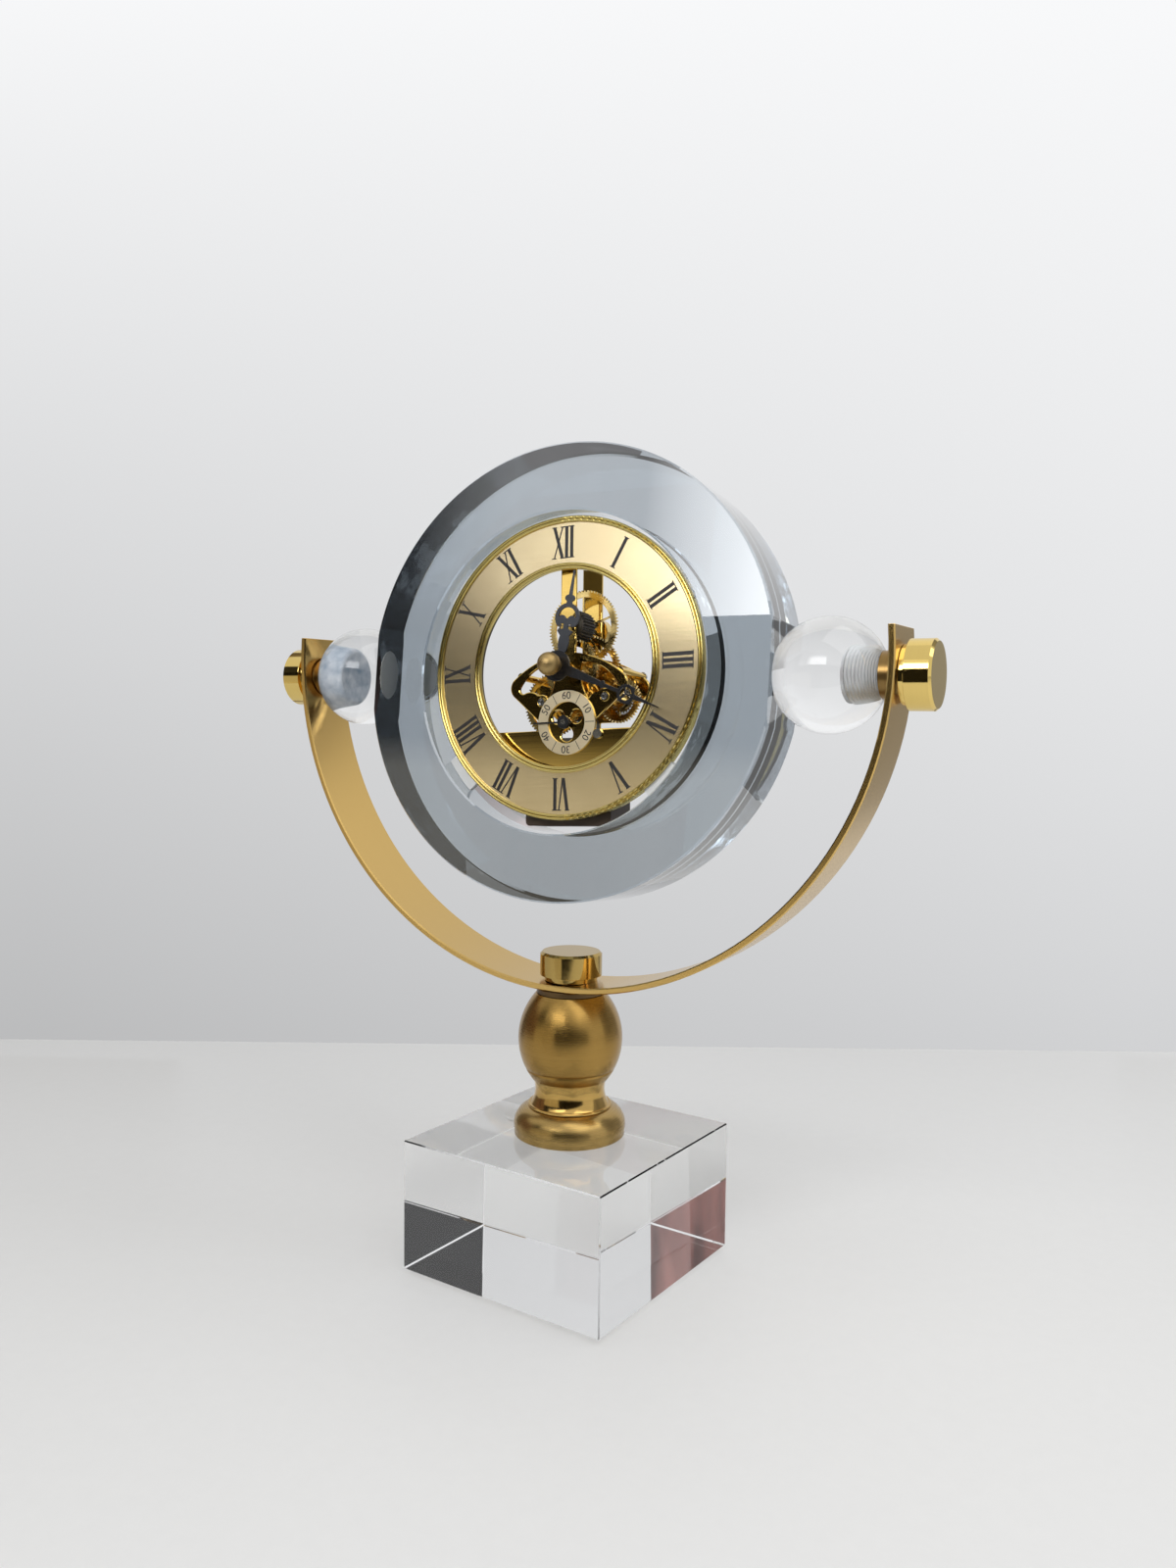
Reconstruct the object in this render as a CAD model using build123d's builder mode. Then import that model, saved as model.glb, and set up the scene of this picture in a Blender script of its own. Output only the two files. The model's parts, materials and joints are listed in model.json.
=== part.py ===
"""Mystery clock: a skeleton clock in a smoked crystal ring, hung between crystal balls in a brass bow.

Millimetres. +Z is up, the dial faces -Y, and the origin lies on the table under the pedestal's axis.
"""

import os
from math import acos, atan2, cos, degrees, radians, sin, sqrt

from build123d import *

# Crystal base and its feet
BASE_W = 80.0
BASE_H = 44.4
BASE_TURN = -5.75
BASE_EDGE = 0.7
FOOT_R = 4.5
FOOT_H = 1.6
FOOT_INSET = 8.0

# Turned brass pedestal, stacked on a tie rod
BELL_R = 18.9
BELL_LAND = 1.6
BELL_H = 9.8
BELL_TOP_R = 14.0
BELL_BULGE = 1.5
NECK_H = 9.6
NECK_LIP_R = 14.3
NECK_LIP_H = 0.9
NECK_WAIST_R = 11.9
NECK_TOP_R = 12.8
BULB_H = 29.4
BULB_R = 17.8
BULB_FOOT_R = 13.2
BULB_TOP_R = 11.8
BULB_GROOVE_R = 0.45
BULB_GROOVE_H = 3.4
ROD_R = 4.0
ROD_GAP = 0.25
ROD_FLOOR = 2.5
WASHER_R = 11.6
WASHER_T = 1.9

# Bow: a flat strip bent to a circle, open at the top
BOW_R = 111.0
BOW_T = 2.1
BOW_W = 22.4
BOW_RISE = 8.8
BOW_EDGE = 0.4

# Knobs: the two at the pivots and the one that clamps the bow are alike
KNOB_R = 10.6
KNOB_L = 8.0
KNOB_EDGE = 0.8
COLLAR_R = 9.0
COLLAR_T = 1.8
THREAD_L = 7.0

# Crystal ring, leaning back on its pivots; its flats stand at a share of the bow's inner radius
FACET_SHARE = 0.6795
RING_T = 25.4
RING_EDGE = 0.6
FACET_DEPTH = 1.75
BORE_R = 53.3
LEAN = 5.7
PIVOT_DROP = 5.4

# Crystal balls on studs; a ball fills the room between the ring's flat and its spacer
BALL_FLAT_R = 10.5
STUD_R = 6.0
STUD_DEPTH = 12.0
SPACER_R = 7.2
SPACER_L = 3.255
PIVOT_GAP = 0.08
SEAT_GAP = 0.1

# Clock insert: case ring, dial, bezel and the clear pads that hold it in the bore
INSERT_RISE = 1.9
INSERT_TURN = 3.1
BORE_GAP = 2.7
BEZEL_W = 2.0
BEZEL_SEAT_W = 1.6
BEAD_LIP = 0.5
DIAL_Z = 7.4
DIAL_T = 0.7
DIAL_W = 13.6
RIM_W = 2.2
RIM_SEAT_W = 0.8
CASE_T = 2.1
PAD_W = 13.0
PAD_T = 2.0
PAD_ANGLES = (35.0, 145.0, 222.0, 318.0)

# Movement plates, posts and screws
PLATE_T = 1.2
PLATE_SPAN = 15.4
STRIP_W = 5.8
REAR_STRIP_W = 7.6
PLATE_INSET = 4.0
PANEL_TOP = 20.4
LOBE_X = 22.3
LOBE_TOP = 5.6
LOBE_LOW = 16.8
LINK_W = 7.0
POST_R = 1.3
SIDE_POST_X = 18.9
SIDE_POST_Y = -1.5
TOP_POST_INSET = 4.5
BUSH_R = 1.35
BUSH_GAP = 0.1
BUSH_RISE = 0.5
WINDOW_R = 2.3
SCREW_R = 1.6
SCREW_H = 0.8
SCREW_SHANK_R = 0.8
SCREW_SHANK_L = 3.0
SCREW_ANGLE = -19.0

# Gear train: one module, and every pair is in mesh at rest
MODULE = 0.36
ADDENDUM = 0.85
DEDENDUM = 1.15
TIP_SHARE = 0.09
ROOT_SHARE = 0.34
CENTER_TEETH = 72
THIRD_PINION_TEETH = 9
THIRD_TEETH = 60
SECOND_PINION_TEETH = 8
CANNON_TEETH = 12
MINUTE_TEETH = 72
DRUM_TEETH = 28
HOUR_TEETH = 56
IDLER_PINION_TEETH = 24
IDLER_TEETH = 42
IDLER_ANGLE = -35.0
SUBDIAL_DROP = 18.0
WHEEL_T = 1.0
PINION_T = 2.0
CROSS_RIM = 1.7
HUB_R = 2.6
SPOKE_W = 1.1
ARBOR_R = 0.9
CENTER_R = 1.0
PIPE_R = 1.9
RUN_GAP = 0.05
HOUR_Z = 0.9
THIRD_Z = -3.9
MINUTE_Z = -6.6
CENTER_Z = -9.2
IDLER_Z = -6.6
DRUM_END_GAP = 0.8
SET_KNOB_R = 5.0
SET_KNOB_T = 4.0
SET_KNOB_GAP = 0.8

# Hands, at the time shown
MINUTES = 18.75
SECONDS = 45.0
HAND_T = 0.6
HOUR_HAND_Z = 9.5
HOUR_HAND_L = 32.0
HOUR_HUB_R = 3.5
HOUR_RING_AT = 16.5
HOUR_RING_R = 4.6
MINUTE_HAND_Z = 11.7
MINUTE_HAND_L = 40.2
MINUTE_HUB_R = 5.1
MINUTE_RING_AT = 27.6
MINUTE_RING_R = 3.1
HAND_HOLE_SHARE = 0.7
SPOKE_W = 0.5
CAP_R = 3.85
CAP_Z = 16.9
CAP_STEM_R = 2.2
SUBDIAL_HOLE_R = 7.0
SUBDIAL_T = 0.6
SECOND_HAND_L = 12.2
SECOND_HAND_W = 0.6
SECOND_HUB_R = 2.2
SECOND_HUB_T = 1.6
SECOND_HAND_GAP = 0.6

# Quartz module, cell and cell box
MODULE_TOP = 23.0
MODULE_INSET = 3.0
MODULE_BOSS_R = 3.6
MODULE_BOSS_T = 5.0
CELL_R = 6.0
CELL_L = 29.5
CELL_GAP = 0.3
BOX_WALL = 1.2
BOX_GAP = 0.35
BOX_EDGE = 1.5

# Heights on the stand
BASE_TOP = FOOT_H + BASE_H
ROD_LOW = BASE_TOP + ROD_FLOOR
BELL_TOP = BASE_TOP + BELL_H
NECK_TOP = BELL_TOP + NECK_H
BULB_TOP = NECK_TOP + BULB_H
BOW_LOW = BULB_TOP + WASHER_T
BOW_Z = BOW_LOW + BOW_R
BOW_IN_R = BOW_R - BOW_T
NUT_Z = BOW_Z - sqrt(BOW_IN_R**2 - COLLAR_R**2)
PIVOT_Z = BOW_Z - PIVOT_DROP
ROD_HOLE_R = ROD_R + ROD_GAP

# Places along the pivot axis, the same on both sides
FACET_X = FACET_SHARE * BOW_IN_R
RING_R = FACET_X + FACET_DEPTH
SPACER_OUT = sqrt(BOW_IN_R**2 - (PIVOT_DROP + SPACER_R) ** 2) - SEAT_GAP
SPACER_IN = SPACER_OUT - SPACER_L
BALL_W = SPACER_IN - FACET_X
BALL_REACH = (BALL_W**2 + SPACER_R**2 - BALL_FLAT_R**2) / (2 * BALL_W)
BALL_R = sqrt(BALL_FLAT_R**2 + BALL_REACH**2)
BALL_X = FACET_X + BALL_REACH
STUD_IN = SPACER_IN - STUD_DEPTH
COLLAR_IN = sqrt(BOW_R**2 - max(0.0, PIVOT_DROP - COLLAR_R) ** 2) + SEAT_GAP

# Radii in the insert, from the bore inwards
BEZEL_R = BORE_R - BORE_GAP
DIAL_R = BEZEL_R - BEZEL_W
CASE_R = DIAL_R - BEZEL_SEAT_W
DIAL_HOLE_R = DIAL_R - DIAL_W
RIM_R = DIAL_HOLE_R - RIM_W
CASE_HOLE_R = RIM_R + RIM_SEAT_W
PANEL_R = CASE_R - PLATE_INSET
STRIP_TOP = PANEL_R
TOP_POST_Y = STRIP_TOP - TOP_POST_INSET
MODULE_R = PANEL_R - MODULE_INSET

# Heights in the insert, along the dial's axis from the ring's middle plane
CASE_TOP = DIAL_Z - DIAL_T
CASE_Z = CASE_TOP - CASE_T
FRONT_Z = CASE_Z - PLATE_T
REAR_TOP = FRONT_Z - PLATE_SPAN
REAR_Z = REAR_TOP - PLATE_T
SECOND_HAND_Z = CASE_Z + SUBDIAL_T + SECOND_HAND_GAP
DRUM_Z = MINUTE_Z + WHEEL_T
DRUM_L = FRONT_Z - DRUM_END_GAP - DRUM_Z
SET_KNOB_Z = REAR_Z - SET_KNOB_GAP - SET_KNOB_T
BOX_H = 2 * (CELL_R + CELL_GAP + BOX_WALL)
BOX_W = CELL_L + 2 * (CELL_GAP + BOX_WALL)
BOX_D = 2 * (CELL_R + CELL_GAP) + BOX_WALL
BOX_LOW = sqrt((BORE_R - BOX_GAP) ** 2 - (BOX_W / 2) ** 2) + INSERT_RISE
BOX_Y = BOX_H / 2 - BOX_LOW
MODULE_LOW = BOX_LOW - BOX_H


def spread(teeth, mate_teeth):
    """Distance between the arbors of two wheels in mesh."""
    return MODULE * (teeth + mate_teeth) / 2


# Arbors, in the insert's own x (right) and y (up)
CENTER_XY = (0.0, 0.0)
MINUTE_XY = (0.0, spread(CANNON_TEETH, MINUTE_TEETH))
SECOND_XY = (0.0, -SUBDIAL_DROP)
THIRD_REACH = spread(CENTER_TEETH, THIRD_PINION_TEETH)
THIRD_ARM = spread(THIRD_TEETH, SECOND_PINION_TEETH)
THIRD_BEND = acos((THIRD_REACH**2 + SUBDIAL_DROP**2 - THIRD_ARM**2) / (2 * THIRD_REACH * SUBDIAL_DROP))
THIRD_XY = (-THIRD_REACH * sin(THIRD_BEND), -THIRD_REACH * cos(THIRD_BEND))
IDLER_REACH = spread(CENTER_TEETH, IDLER_PINION_TEETH)
IDLER_XY = (IDLER_REACH * cos(radians(IDLER_ANGLE)), IDLER_REACH * sin(radians(IDLER_ANGLE)))

# The seconds dial just clears the third wheel's bush, and the plate's screw just clears the dial
SUBDIAL_R = THIRD_ARM - BUSH_R - BUSH_GAP
SCREW_REACH = SUBDIAL_R + SCREW_R + BUSH_GAP
SCREW_XY = (SCREW_REACH * cos(radians(SCREW_ANGLE)), SCREW_REACH * sin(radians(SCREW_ANGLE)) - SUBDIAL_DROP)

# Frames: the leaning head, the insert that sits a little turned in it, and the turned base
FORWARD = (0, -cos(radians(LEAN)), sin(radians(LEAN)))
HEAD = Plane(origin=(0, 0, PIVOT_Z), x_dir=(1, 0, 0), z_dir=FORWARD)
INSERT = Plane(HEAD.location * Location((0, INSERT_RISE, 0), (0, 0, INSERT_TURN)))
SECTION = Plane(origin=INSERT.origin, x_dir=INSERT.x_dir, z_dir=-INSERT.y_dir)
BASE = Plane(Location((0, 0, 0), (0, 0, BASE_TURN)))


def at(height, spot=CENTER_XY, turn=0.0):
    """Plane in the insert at a height, centred on a spot and turned about the dial's axis."""
    return Plane(INSERT.location * Location((spot[0], spot[1], height), (0, 0, turn)))


def pivot_plane(side, reach):
    """Plane on the pivot axis at a reach to one side: x is up, y points outwards."""
    return Plane(origin=(side * reach, 0, PIVOT_Z), x_dir=(0, 0, 1), z_dir=(0, side, 0))


def save(piece, name):
    """Label a finished piece and write its file."""
    piece.label = name
    export_step(piece, f"parts/{name}.step")


def turned(plane, profile):
    """Solid turned about a plane's y axis from a closed profile drawn on it."""
    with BuildPart() as piece:
        revolve(profile, axis=Axis(plane.origin, plane.y_dir))
    return piece.part


def disc(plane, radius, length, bore=0.0):
    """Round disc, ring or rod from a plane forwards."""
    with BuildPart() as piece:
        with BuildSketch(plane):
            Circle(radius)
            if bore:
                Circle(bore, mode=Mode.SUBTRACT)
        extrude(amount=length)
    return piece.part


def bearing(start, end):
    """Direction in degrees from one spot to another."""
    return degrees(atan2(end[1] - start[1], end[0] - start[0]))


def mesh_turn(turn, teeth, direction, mate_teeth):
    """Turn of a mate whose gaps take the teeth of a wheel that stands at a given turn."""
    lead = ((turn - direction) * teeth / 360) % 1
    return direction + 180 + (0.5 - lead) * 360 / mate_teeth


def tooth_outline(teeth, turn):
    """Corners round a toothed rim, with the first tooth pointing to the turn."""
    root = MODULE * (teeth / 2 - DEDENDUM)
    tip = MODULE * (teeth / 2 + ADDENDUM)
    corners = ((root, -ROOT_SHARE), (tip, -TIP_SHARE), (tip, TIP_SHARE), (root, ROOT_SHARE))
    points = []
    for tooth in range(teeth):
        for radius, share in corners:
            angle = radians(turn + 360 / teeth * (tooth + share))
            points.append((radius * cos(angle), radius * sin(angle)))
    return points


def wheel(plane, teeth, turn, bore, length, spokes=0):
    """Toothed wheel, crossed out to hub, spokes and rim where it has spokes."""
    with BuildPart() as piece:
        with BuildSketch(plane):
            with BuildLine():
                Polyline(*tooth_outline(teeth, turn), close=True)
            make_face()
            if spokes:
                cross_r = MODULE * (teeth / 2 - DEDENDUM) - CROSS_RIM
                Circle(cross_r, mode=Mode.SUBTRACT)
                Circle(HUB_R)
                with PolarLocations(0, spokes, start_angle=90):
                    Rectangle(cross_r + CROSS_RIM / 2, SPOKE_W, align=(Align.MIN, Align.CENTER))
            Circle(bore, mode=Mode.SUBTRACT)
        extrude(amount=length)
    return piece.part


os.makedirs("parts", exist_ok=True)

# Stand: crystal base, feet and pedestal
with BuildPart() as glass_base:
    with BuildSketch(BASE.offset(FOOT_H)):
        Rectangle(BASE_W, BASE_W)
    extrude(amount=BASE_H)
    chamfer(glass_base.edges(), BASE_EDGE)
save(glass_base.part, "glass_base")

with BuildPart() as foot_pads:
    with BuildSketch(BASE):
        with GridLocations(BASE_W - 2 * FOOT_INSET, BASE_W - 2 * FOOT_INSET, 2, 2):
            Circle(FOOT_R)
    extrude(amount=FOOT_H)
    chamfer(foot_pads.edges().group_by(Axis.Z)[0], FOOT_H / 2)
save(foot_pads.part, "foot_pads")

with BuildSketch(Plane.XZ) as bell_profile:
    with BuildLine():
        bell_low = BASE_TOP + BELL_LAND
        bell_mid = ((BELL_R + BELL_TOP_R) / 2 + BELL_BULGE, (bell_low + BELL_TOP) / 2 + BELL_BULGE)
        Polyline((0, ROD_LOW), (0, BASE_TOP), (BELL_R, BASE_TOP), (BELL_R, bell_low))
        ThreePointArc((BELL_R, bell_low), bell_mid, (BELL_TOP_R, BELL_TOP))
        Polyline((BELL_TOP_R, BELL_TOP), (ROD_R, BELL_TOP), (ROD_R, ROD_LOW), (0, ROD_LOW))
    make_face()
save(turned(Plane.XZ, bell_profile.sketch), "pedestal_foot")

with BuildSketch(Plane.XZ) as neck_profile:
    with BuildLine():
        lip_top = BELL_TOP + NECK_LIP_H
        waist = (NECK_WAIST_R, (lip_top + NECK_TOP) / 2 + NECK_LIP_H)
        Polyline((ROD_HOLE_R, BELL_TOP), (NECK_LIP_R, BELL_TOP), (NECK_LIP_R, lip_top))
        ThreePointArc((NECK_LIP_R, lip_top), waist, (NECK_TOP_R, NECK_TOP))
        Polyline((NECK_TOP_R, NECK_TOP), (ROD_HOLE_R, NECK_TOP), (ROD_HOLE_R, BELL_TOP))
    make_face()
save(turned(Plane.XZ, neck_profile.sketch), "pedestal_neck")

with BuildSketch(Plane.XZ) as bulb_profile:
    with BuildLine():
        waist = (BULB_R, (NECK_TOP + BULB_TOP) / 2)
        bulb_side = ThreePointArc((BULB_FOOT_R, NECK_TOP), waist, (BULB_TOP_R, BULB_TOP))
        Polyline((BULB_TOP_R, BULB_TOP), (ROD_HOLE_R, BULB_TOP), (ROD_HOLE_R, NECK_TOP),
                 (BULB_FOOT_R, NECK_TOP))
    make_face()
    groove = bulb_side @ (BULB_GROOVE_H / bulb_side.length)
    with Locations((groove.X, groove.Y)):
        Circle(BULB_GROOVE_R, mode=Mode.SUBTRACT)
save(turned(Plane.XZ, bulb_profile.sketch), "pedestal_bulb")

save(disc(Plane.XY.offset(ROD_LOW), ROD_R, NUT_Z + THREAD_L - ROD_LOW), "tie_rod")
save(disc(Plane.XY.offset(BULB_TOP), WASHER_R, WASHER_T, ROD_HOLE_R), "seat_washer")

# Bow, drilled for the rod and for the two studs
with BuildPart() as bow:
    with BuildSketch(Plane.XZ):
        with Locations((0, BOW_Z)):
            Circle(BOW_R)
            Circle(BOW_IN_R, mode=Mode.SUBTRACT)
        with Locations((0, BOW_Z + BOW_RISE)):
            Rectangle(2 * BOW_R, BOW_R, align=(Align.CENTER, Align.MIN), mode=Mode.SUBTRACT)
    extrude(amount=BOW_W / 2, both=True)
    chamfer(bow.edges().filter_by(GeomType.CIRCLE), BOW_EDGE)
    with BuildSketch(Plane.XY.offset(BOW_LOW - BOW_T)):
        Circle(ROD_HOLE_R)
    extrude(amount=3 * BOW_T, mode=Mode.SUBTRACT)
    with BuildSketch(Plane.YZ):
        with Locations((0, PIVOT_Z)):
            Circle(STUD_R + PIVOT_GAP)
    extrude(amount=BOW_R + BOW_T, both=True, mode=Mode.SUBTRACT)
save(bow.part, "bow")


def knob(plane, thread):
    """Knob with a collar and a blind threaded hole, turned up a plane's y axis from the collar's face."""
    top = COLLAR_T + KNOB_L
    with BuildSketch(plane) as profile:
        with BuildLine():
            Polyline((0, THREAD_L), (0, top), (KNOB_R - KNOB_EDGE, top), (KNOB_R, top - KNOB_EDGE),
                     (KNOB_R, COLLAR_T), (COLLAR_R, COLLAR_T), (COLLAR_R, 0), (thread, 0),
                     (thread, THREAD_L), close=True)
        make_face()
    return turned(plane, profile.sketch)


def ball(plane):
    """Crystal ball with a flat for the ring, a flat for the spacer and a blind hole for the stud."""
    with BuildSketch(plane) as profile:
        with BuildLine():
            Line((0, FACET_X), (BALL_FLAT_R, FACET_X))
            ThreePointArc((BALL_FLAT_R, FACET_X), (BALL_R, BALL_X), (SPACER_R, SPACER_IN))
            Polyline((SPACER_R, SPACER_IN), (STUD_R, SPACER_IN), (STUD_R, STUD_IN), (0, STUD_IN),
                     (0, FACET_X))
        make_face()
    return turned(plane, profile.sketch)


save(knob(Plane(origin=(0, 0, NUT_Z), x_dir=(1, 0, 0), z_dir=(0, -1, 0)), ROD_R), "bow_nut")

# Pivots on both sides: ball, stud, spacer and knob
for side, hand in ((-1, "left"), (1, "right")):
    rod_plane = Plane(origin=(side * STUD_IN, 0, PIVOT_Z), z_dir=(side, 0, 0))
    spacer_plane = Plane(origin=(side * SPACER_IN, 0, PIVOT_Z), z_dir=(side, 0, 0))
    save(ball(pivot_plane(side, 0)), f"{hand}_ball")
    save(disc(rod_plane, STUD_R, COLLAR_IN + THREAD_L - STUD_IN), f"{hand}_stud")
    save(disc(spacer_plane, SPACER_R, SPACER_OUT - SPACER_IN, STUD_R), f"{hand}_spacer")
    save(knob(pivot_plane(side, COLLAR_IN), STUD_R), f"{hand}_knob")

# Crystal ring with its bore and the two flats that the balls are bonded to
with BuildPart() as crystal_ring:
    with BuildSketch(HEAD.offset(-RING_T / 2)):
        Circle(RING_R)
        Rectangle(2 * FACET_X, 2 * RING_R, mode=Mode.INTERSECT)
        Circle(BORE_R, mode=Mode.SUBTRACT)
    extrude(amount=RING_T)
    chamfer(crystal_ring.faces().filter_by(HEAD).edges(), RING_EDGE)
save(crystal_ring.part, "crystal_ring")

# Insert: case ring, dial, beaded bezel, beaded rim and pads
save(disc(at(CASE_Z), CASE_R, CASE_T, CASE_HOLE_R), "case_ring")
save(disc(at(CASE_TOP), DIAL_R, DIAL_T, DIAL_HOLE_R), "dial")


def beaded_ring(inner, outer, seat):
    """Ring with two half-round beads on its front, from the corners of its seat up to the beads."""
    bead_z = DIAL_Z + BEAD_LIP
    middle = (inner + outer) / 2
    swell = (outer - inner) / 4
    with BuildSketch(SECTION) as profile:
        with BuildLine():
            Polyline((inner, bead_z), *seat, (outer, bead_z))
            ThreePointArc((outer, bead_z), (outer - swell, bead_z + swell), (middle, bead_z))
            ThreePointArc((middle, bead_z), (middle - swell, bead_z + swell), (inner, bead_z))
        make_face()
    return turned(SECTION, profile.sketch)


bezel_seat = ((DIAL_R, CASE_TOP), (CASE_R, CASE_TOP), (CASE_R, CASE_Z), (BEZEL_R, CASE_Z))
rim_seat = ((RIM_R, CASE_TOP), (DIAL_HOLE_R, CASE_TOP))
save(beaded_ring(DIAL_R, BEZEL_R, bezel_seat), "bezel")
save(beaded_ring(RIM_R, DIAL_HOLE_R, rim_seat), "dial_rim")

with BuildPart() as insert_pads:
    for angle in PAD_ANGLES:
        with BuildSketch(Plane(HEAD.location * Location((0, 0, CASE_Z), (0, 0, angle)))):
            Rectangle(BORE_R, PAD_W, align=(Align.MIN, Align.CENTER))
            Circle(BORE_R - SEAT_GAP, mode=Mode.INTERSECT)
            with Locations((INSERT_RISE * sin(radians(angle)), INSERT_RISE * cos(radians(angle)))):
                Circle(BEZEL_R, mode=Mode.SUBTRACT)
        extrude(amount=PAD_T)
save(insert_pads.part, "insert_pads")


def lobe(side):
    """Edges of the lobe that both plates have on each side."""
    x = side * LOBE_X
    shoulder = (0.92 * x, -0.4 * LOBE_TOP)
    jaw = (0.94 * x, -0.51 * LOBE_LOW)
    low = (0.52 * x, -LOBE_LOW)
    with BuildLine() as outline:
        ThreePointArc((0, LOBE_TOP), (0.5 * x, 0.57 * LOBE_TOP), shoulder)
        ThreePointArc(shoulder, (x, -0.97 * LOBE_TOP), jaw)
        Polyline(jaw, low, (0, -LOBE_LOW), (0, LOBE_TOP))
    return outline.edges()


def lobe_window(side):
    """Edges of the bean-shaped opening in the front plate's lobe, scalloped along its lower side."""
    x = side * LOBE_X
    heel = (0.25 * x, 0.36 * LOBE_TOP)
    toe = (0.83 * x, -LOBE_TOP)
    sole = (0.76 * x, -0.45 * LOBE_LOW)
    notch = (0.51 * x, -0.49 * LOBE_LOW)
    point = (0.36 * x, -0.61 * LOBE_LOW)
    with BuildLine() as outline:
        ThreePointArc(heel, (0.58 * x, 0), toe)
        ThreePointArc(toe, (0.82 * x, -0.42 * LOBE_LOW), sole)
        ThreePointArc(sole, (0.63 * x, -0.42 * LOBE_LOW), notch)
        ThreePointArc(notch, (0.42 * x, -0.52 * LOBE_LOW), point)
        ThreePointArc(point, (0.23 * x, -0.25 * LOBE_LOW), heel)
    return outline.edges()


# Front plate: strip, two pierced lobes, the disc under the seconds dial and the panel over the module
with BuildPart() as front_plate:
    with BuildSketch(at(FRONT_Z)):
        Circle(PANEL_R)
        with Locations((0, -PANEL_TOP)):
            Rectangle(2 * PANEL_R, PANEL_R, align=(Align.CENTER, Align.MAX), mode=Mode.INTERSECT)
        for side in (-1, 1):
            make_face(lobe(side))
            make_face(lobe_window(side), mode=Mode.SUBTRACT)
        Rectangle(STRIP_W, STRIP_TOP, align=(Align.CENTER, Align.MIN))
        with Locations(SECOND_XY):
            Circle(SUBDIAL_R)
        with Locations(THIRD_XY, IDLER_XY):
            Circle(BUSH_R + PLATE_T)
    extrude(amount=PLATE_T)
    with BuildSketch(at(FRONT_Z)):
        Circle(PIPE_R + RUN_GAP)
        with Locations(MINUTE_XY, SECOND_XY):
            Circle(ARBOR_R + RUN_GAP)
        with Locations(THIRD_XY, IDLER_XY):
            Circle(BUSH_R)
        with Locations(SCREW_XY):
            Circle(SCREW_SHANK_R)
        with Locations(SECOND_XY):
            with PolarLocations((ARBOR_R + SUBDIAL_HOLE_R) / 2, 3, start_angle=30):
                Circle(WINDOW_R)
    extrude(amount=PLATE_T, mode=Mode.SUBTRACT)
save(front_plate.part, "front_plate")

with BuildPart() as plate_bushes:
    for spot in (THIRD_XY, IDLER_XY):
        with BuildSketch(at(FRONT_Z, spot)):
            Circle(BUSH_R)
            Circle(ARBOR_R + RUN_GAP, mode=Mode.SUBTRACT)
        extrude(amount=PLATE_T + BUSH_RISE)
save(plate_bushes.part, "plate_bushes")

with BuildPart() as plate_screw:
    with BuildSketch(at(CASE_Z, SCREW_XY)):
        Circle(SCREW_R)
    extrude(amount=SCREW_H)
    with BuildSketch(at(FRONT_Z, SCREW_XY)):
        Circle(SCREW_SHANK_R)
    extrude(amount=PLATE_T)
save(plate_screw.part, "plate_screw")

save(disc(at(CASE_Z, SECOND_XY), SUBDIAL_R, SUBDIAL_T, SUBDIAL_HOLE_R), "seconds_dial")


def link(end):
    """Arm of the rear plate from the dial's axis to a spot."""
    with Locations((end[0] / 2, end[1] / 2)):
        SlotCenterToCenter(sqrt(end[0] ** 2 + end[1] ** 2), LINK_W, rotation=bearing(CENTER_XY, end))


# Rear plate: strip, lobes and arms that carry every arbor's rear end
side_posts = [(side * SIDE_POST_X, SIDE_POST_Y) for side in (-1, 1)]
top_post = (0.0, TOP_POST_Y)
with BuildPart() as rear_plate:
    with BuildSketch(at(REAR_Z)):
        for side in (-1, 1):
            make_face(lobe(side))
        Rectangle(REAR_STRIP_W, STRIP_TOP, align=(Align.CENTER, Align.MIN))
        for spot in (THIRD_XY, IDLER_XY, (0, -MODULE_LOW + LINK_W)):
            link(spot)
        Circle(CENTER_R + RUN_GAP, mode=Mode.SUBTRACT)
        with Locations(MINUTE_XY, THIRD_XY, IDLER_XY):
            Circle(ARBOR_R + RUN_GAP, mode=Mode.SUBTRACT)
        with Locations(*side_posts, top_post):
            Circle(SCREW_SHANK_R, mode=Mode.SUBTRACT)
    extrude(amount=PLATE_T)
save(rear_plate.part, "rear_plate")

with BuildPart() as plate_posts:
    for spot in (*side_posts, top_post):
        with BuildSketch(at(REAR_TOP, spot)):
            Circle(POST_R)
        extrude(amount=PLATE_SPAN)
        with BuildSketch(at(REAR_TOP, spot)):
            Circle(SCREW_SHANK_R)
        extrude(amount=SCREW_SHANK_L, mode=Mode.SUBTRACT)
save(plate_posts.part, "plate_posts")

with BuildPart() as rear_screws:
    for spot in (*side_posts, top_post):
        with BuildSketch(at(REAR_Z, spot)):
            Circle(SCREW_R)
        extrude(amount=-SCREW_H)
        with BuildSketch(at(REAR_Z, spot)):
            Circle(SCREW_SHANK_R)
        extrude(amount=PLATE_T + SCREW_SHANK_L)
save(rear_screws.part, "rear_screws")

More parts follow.
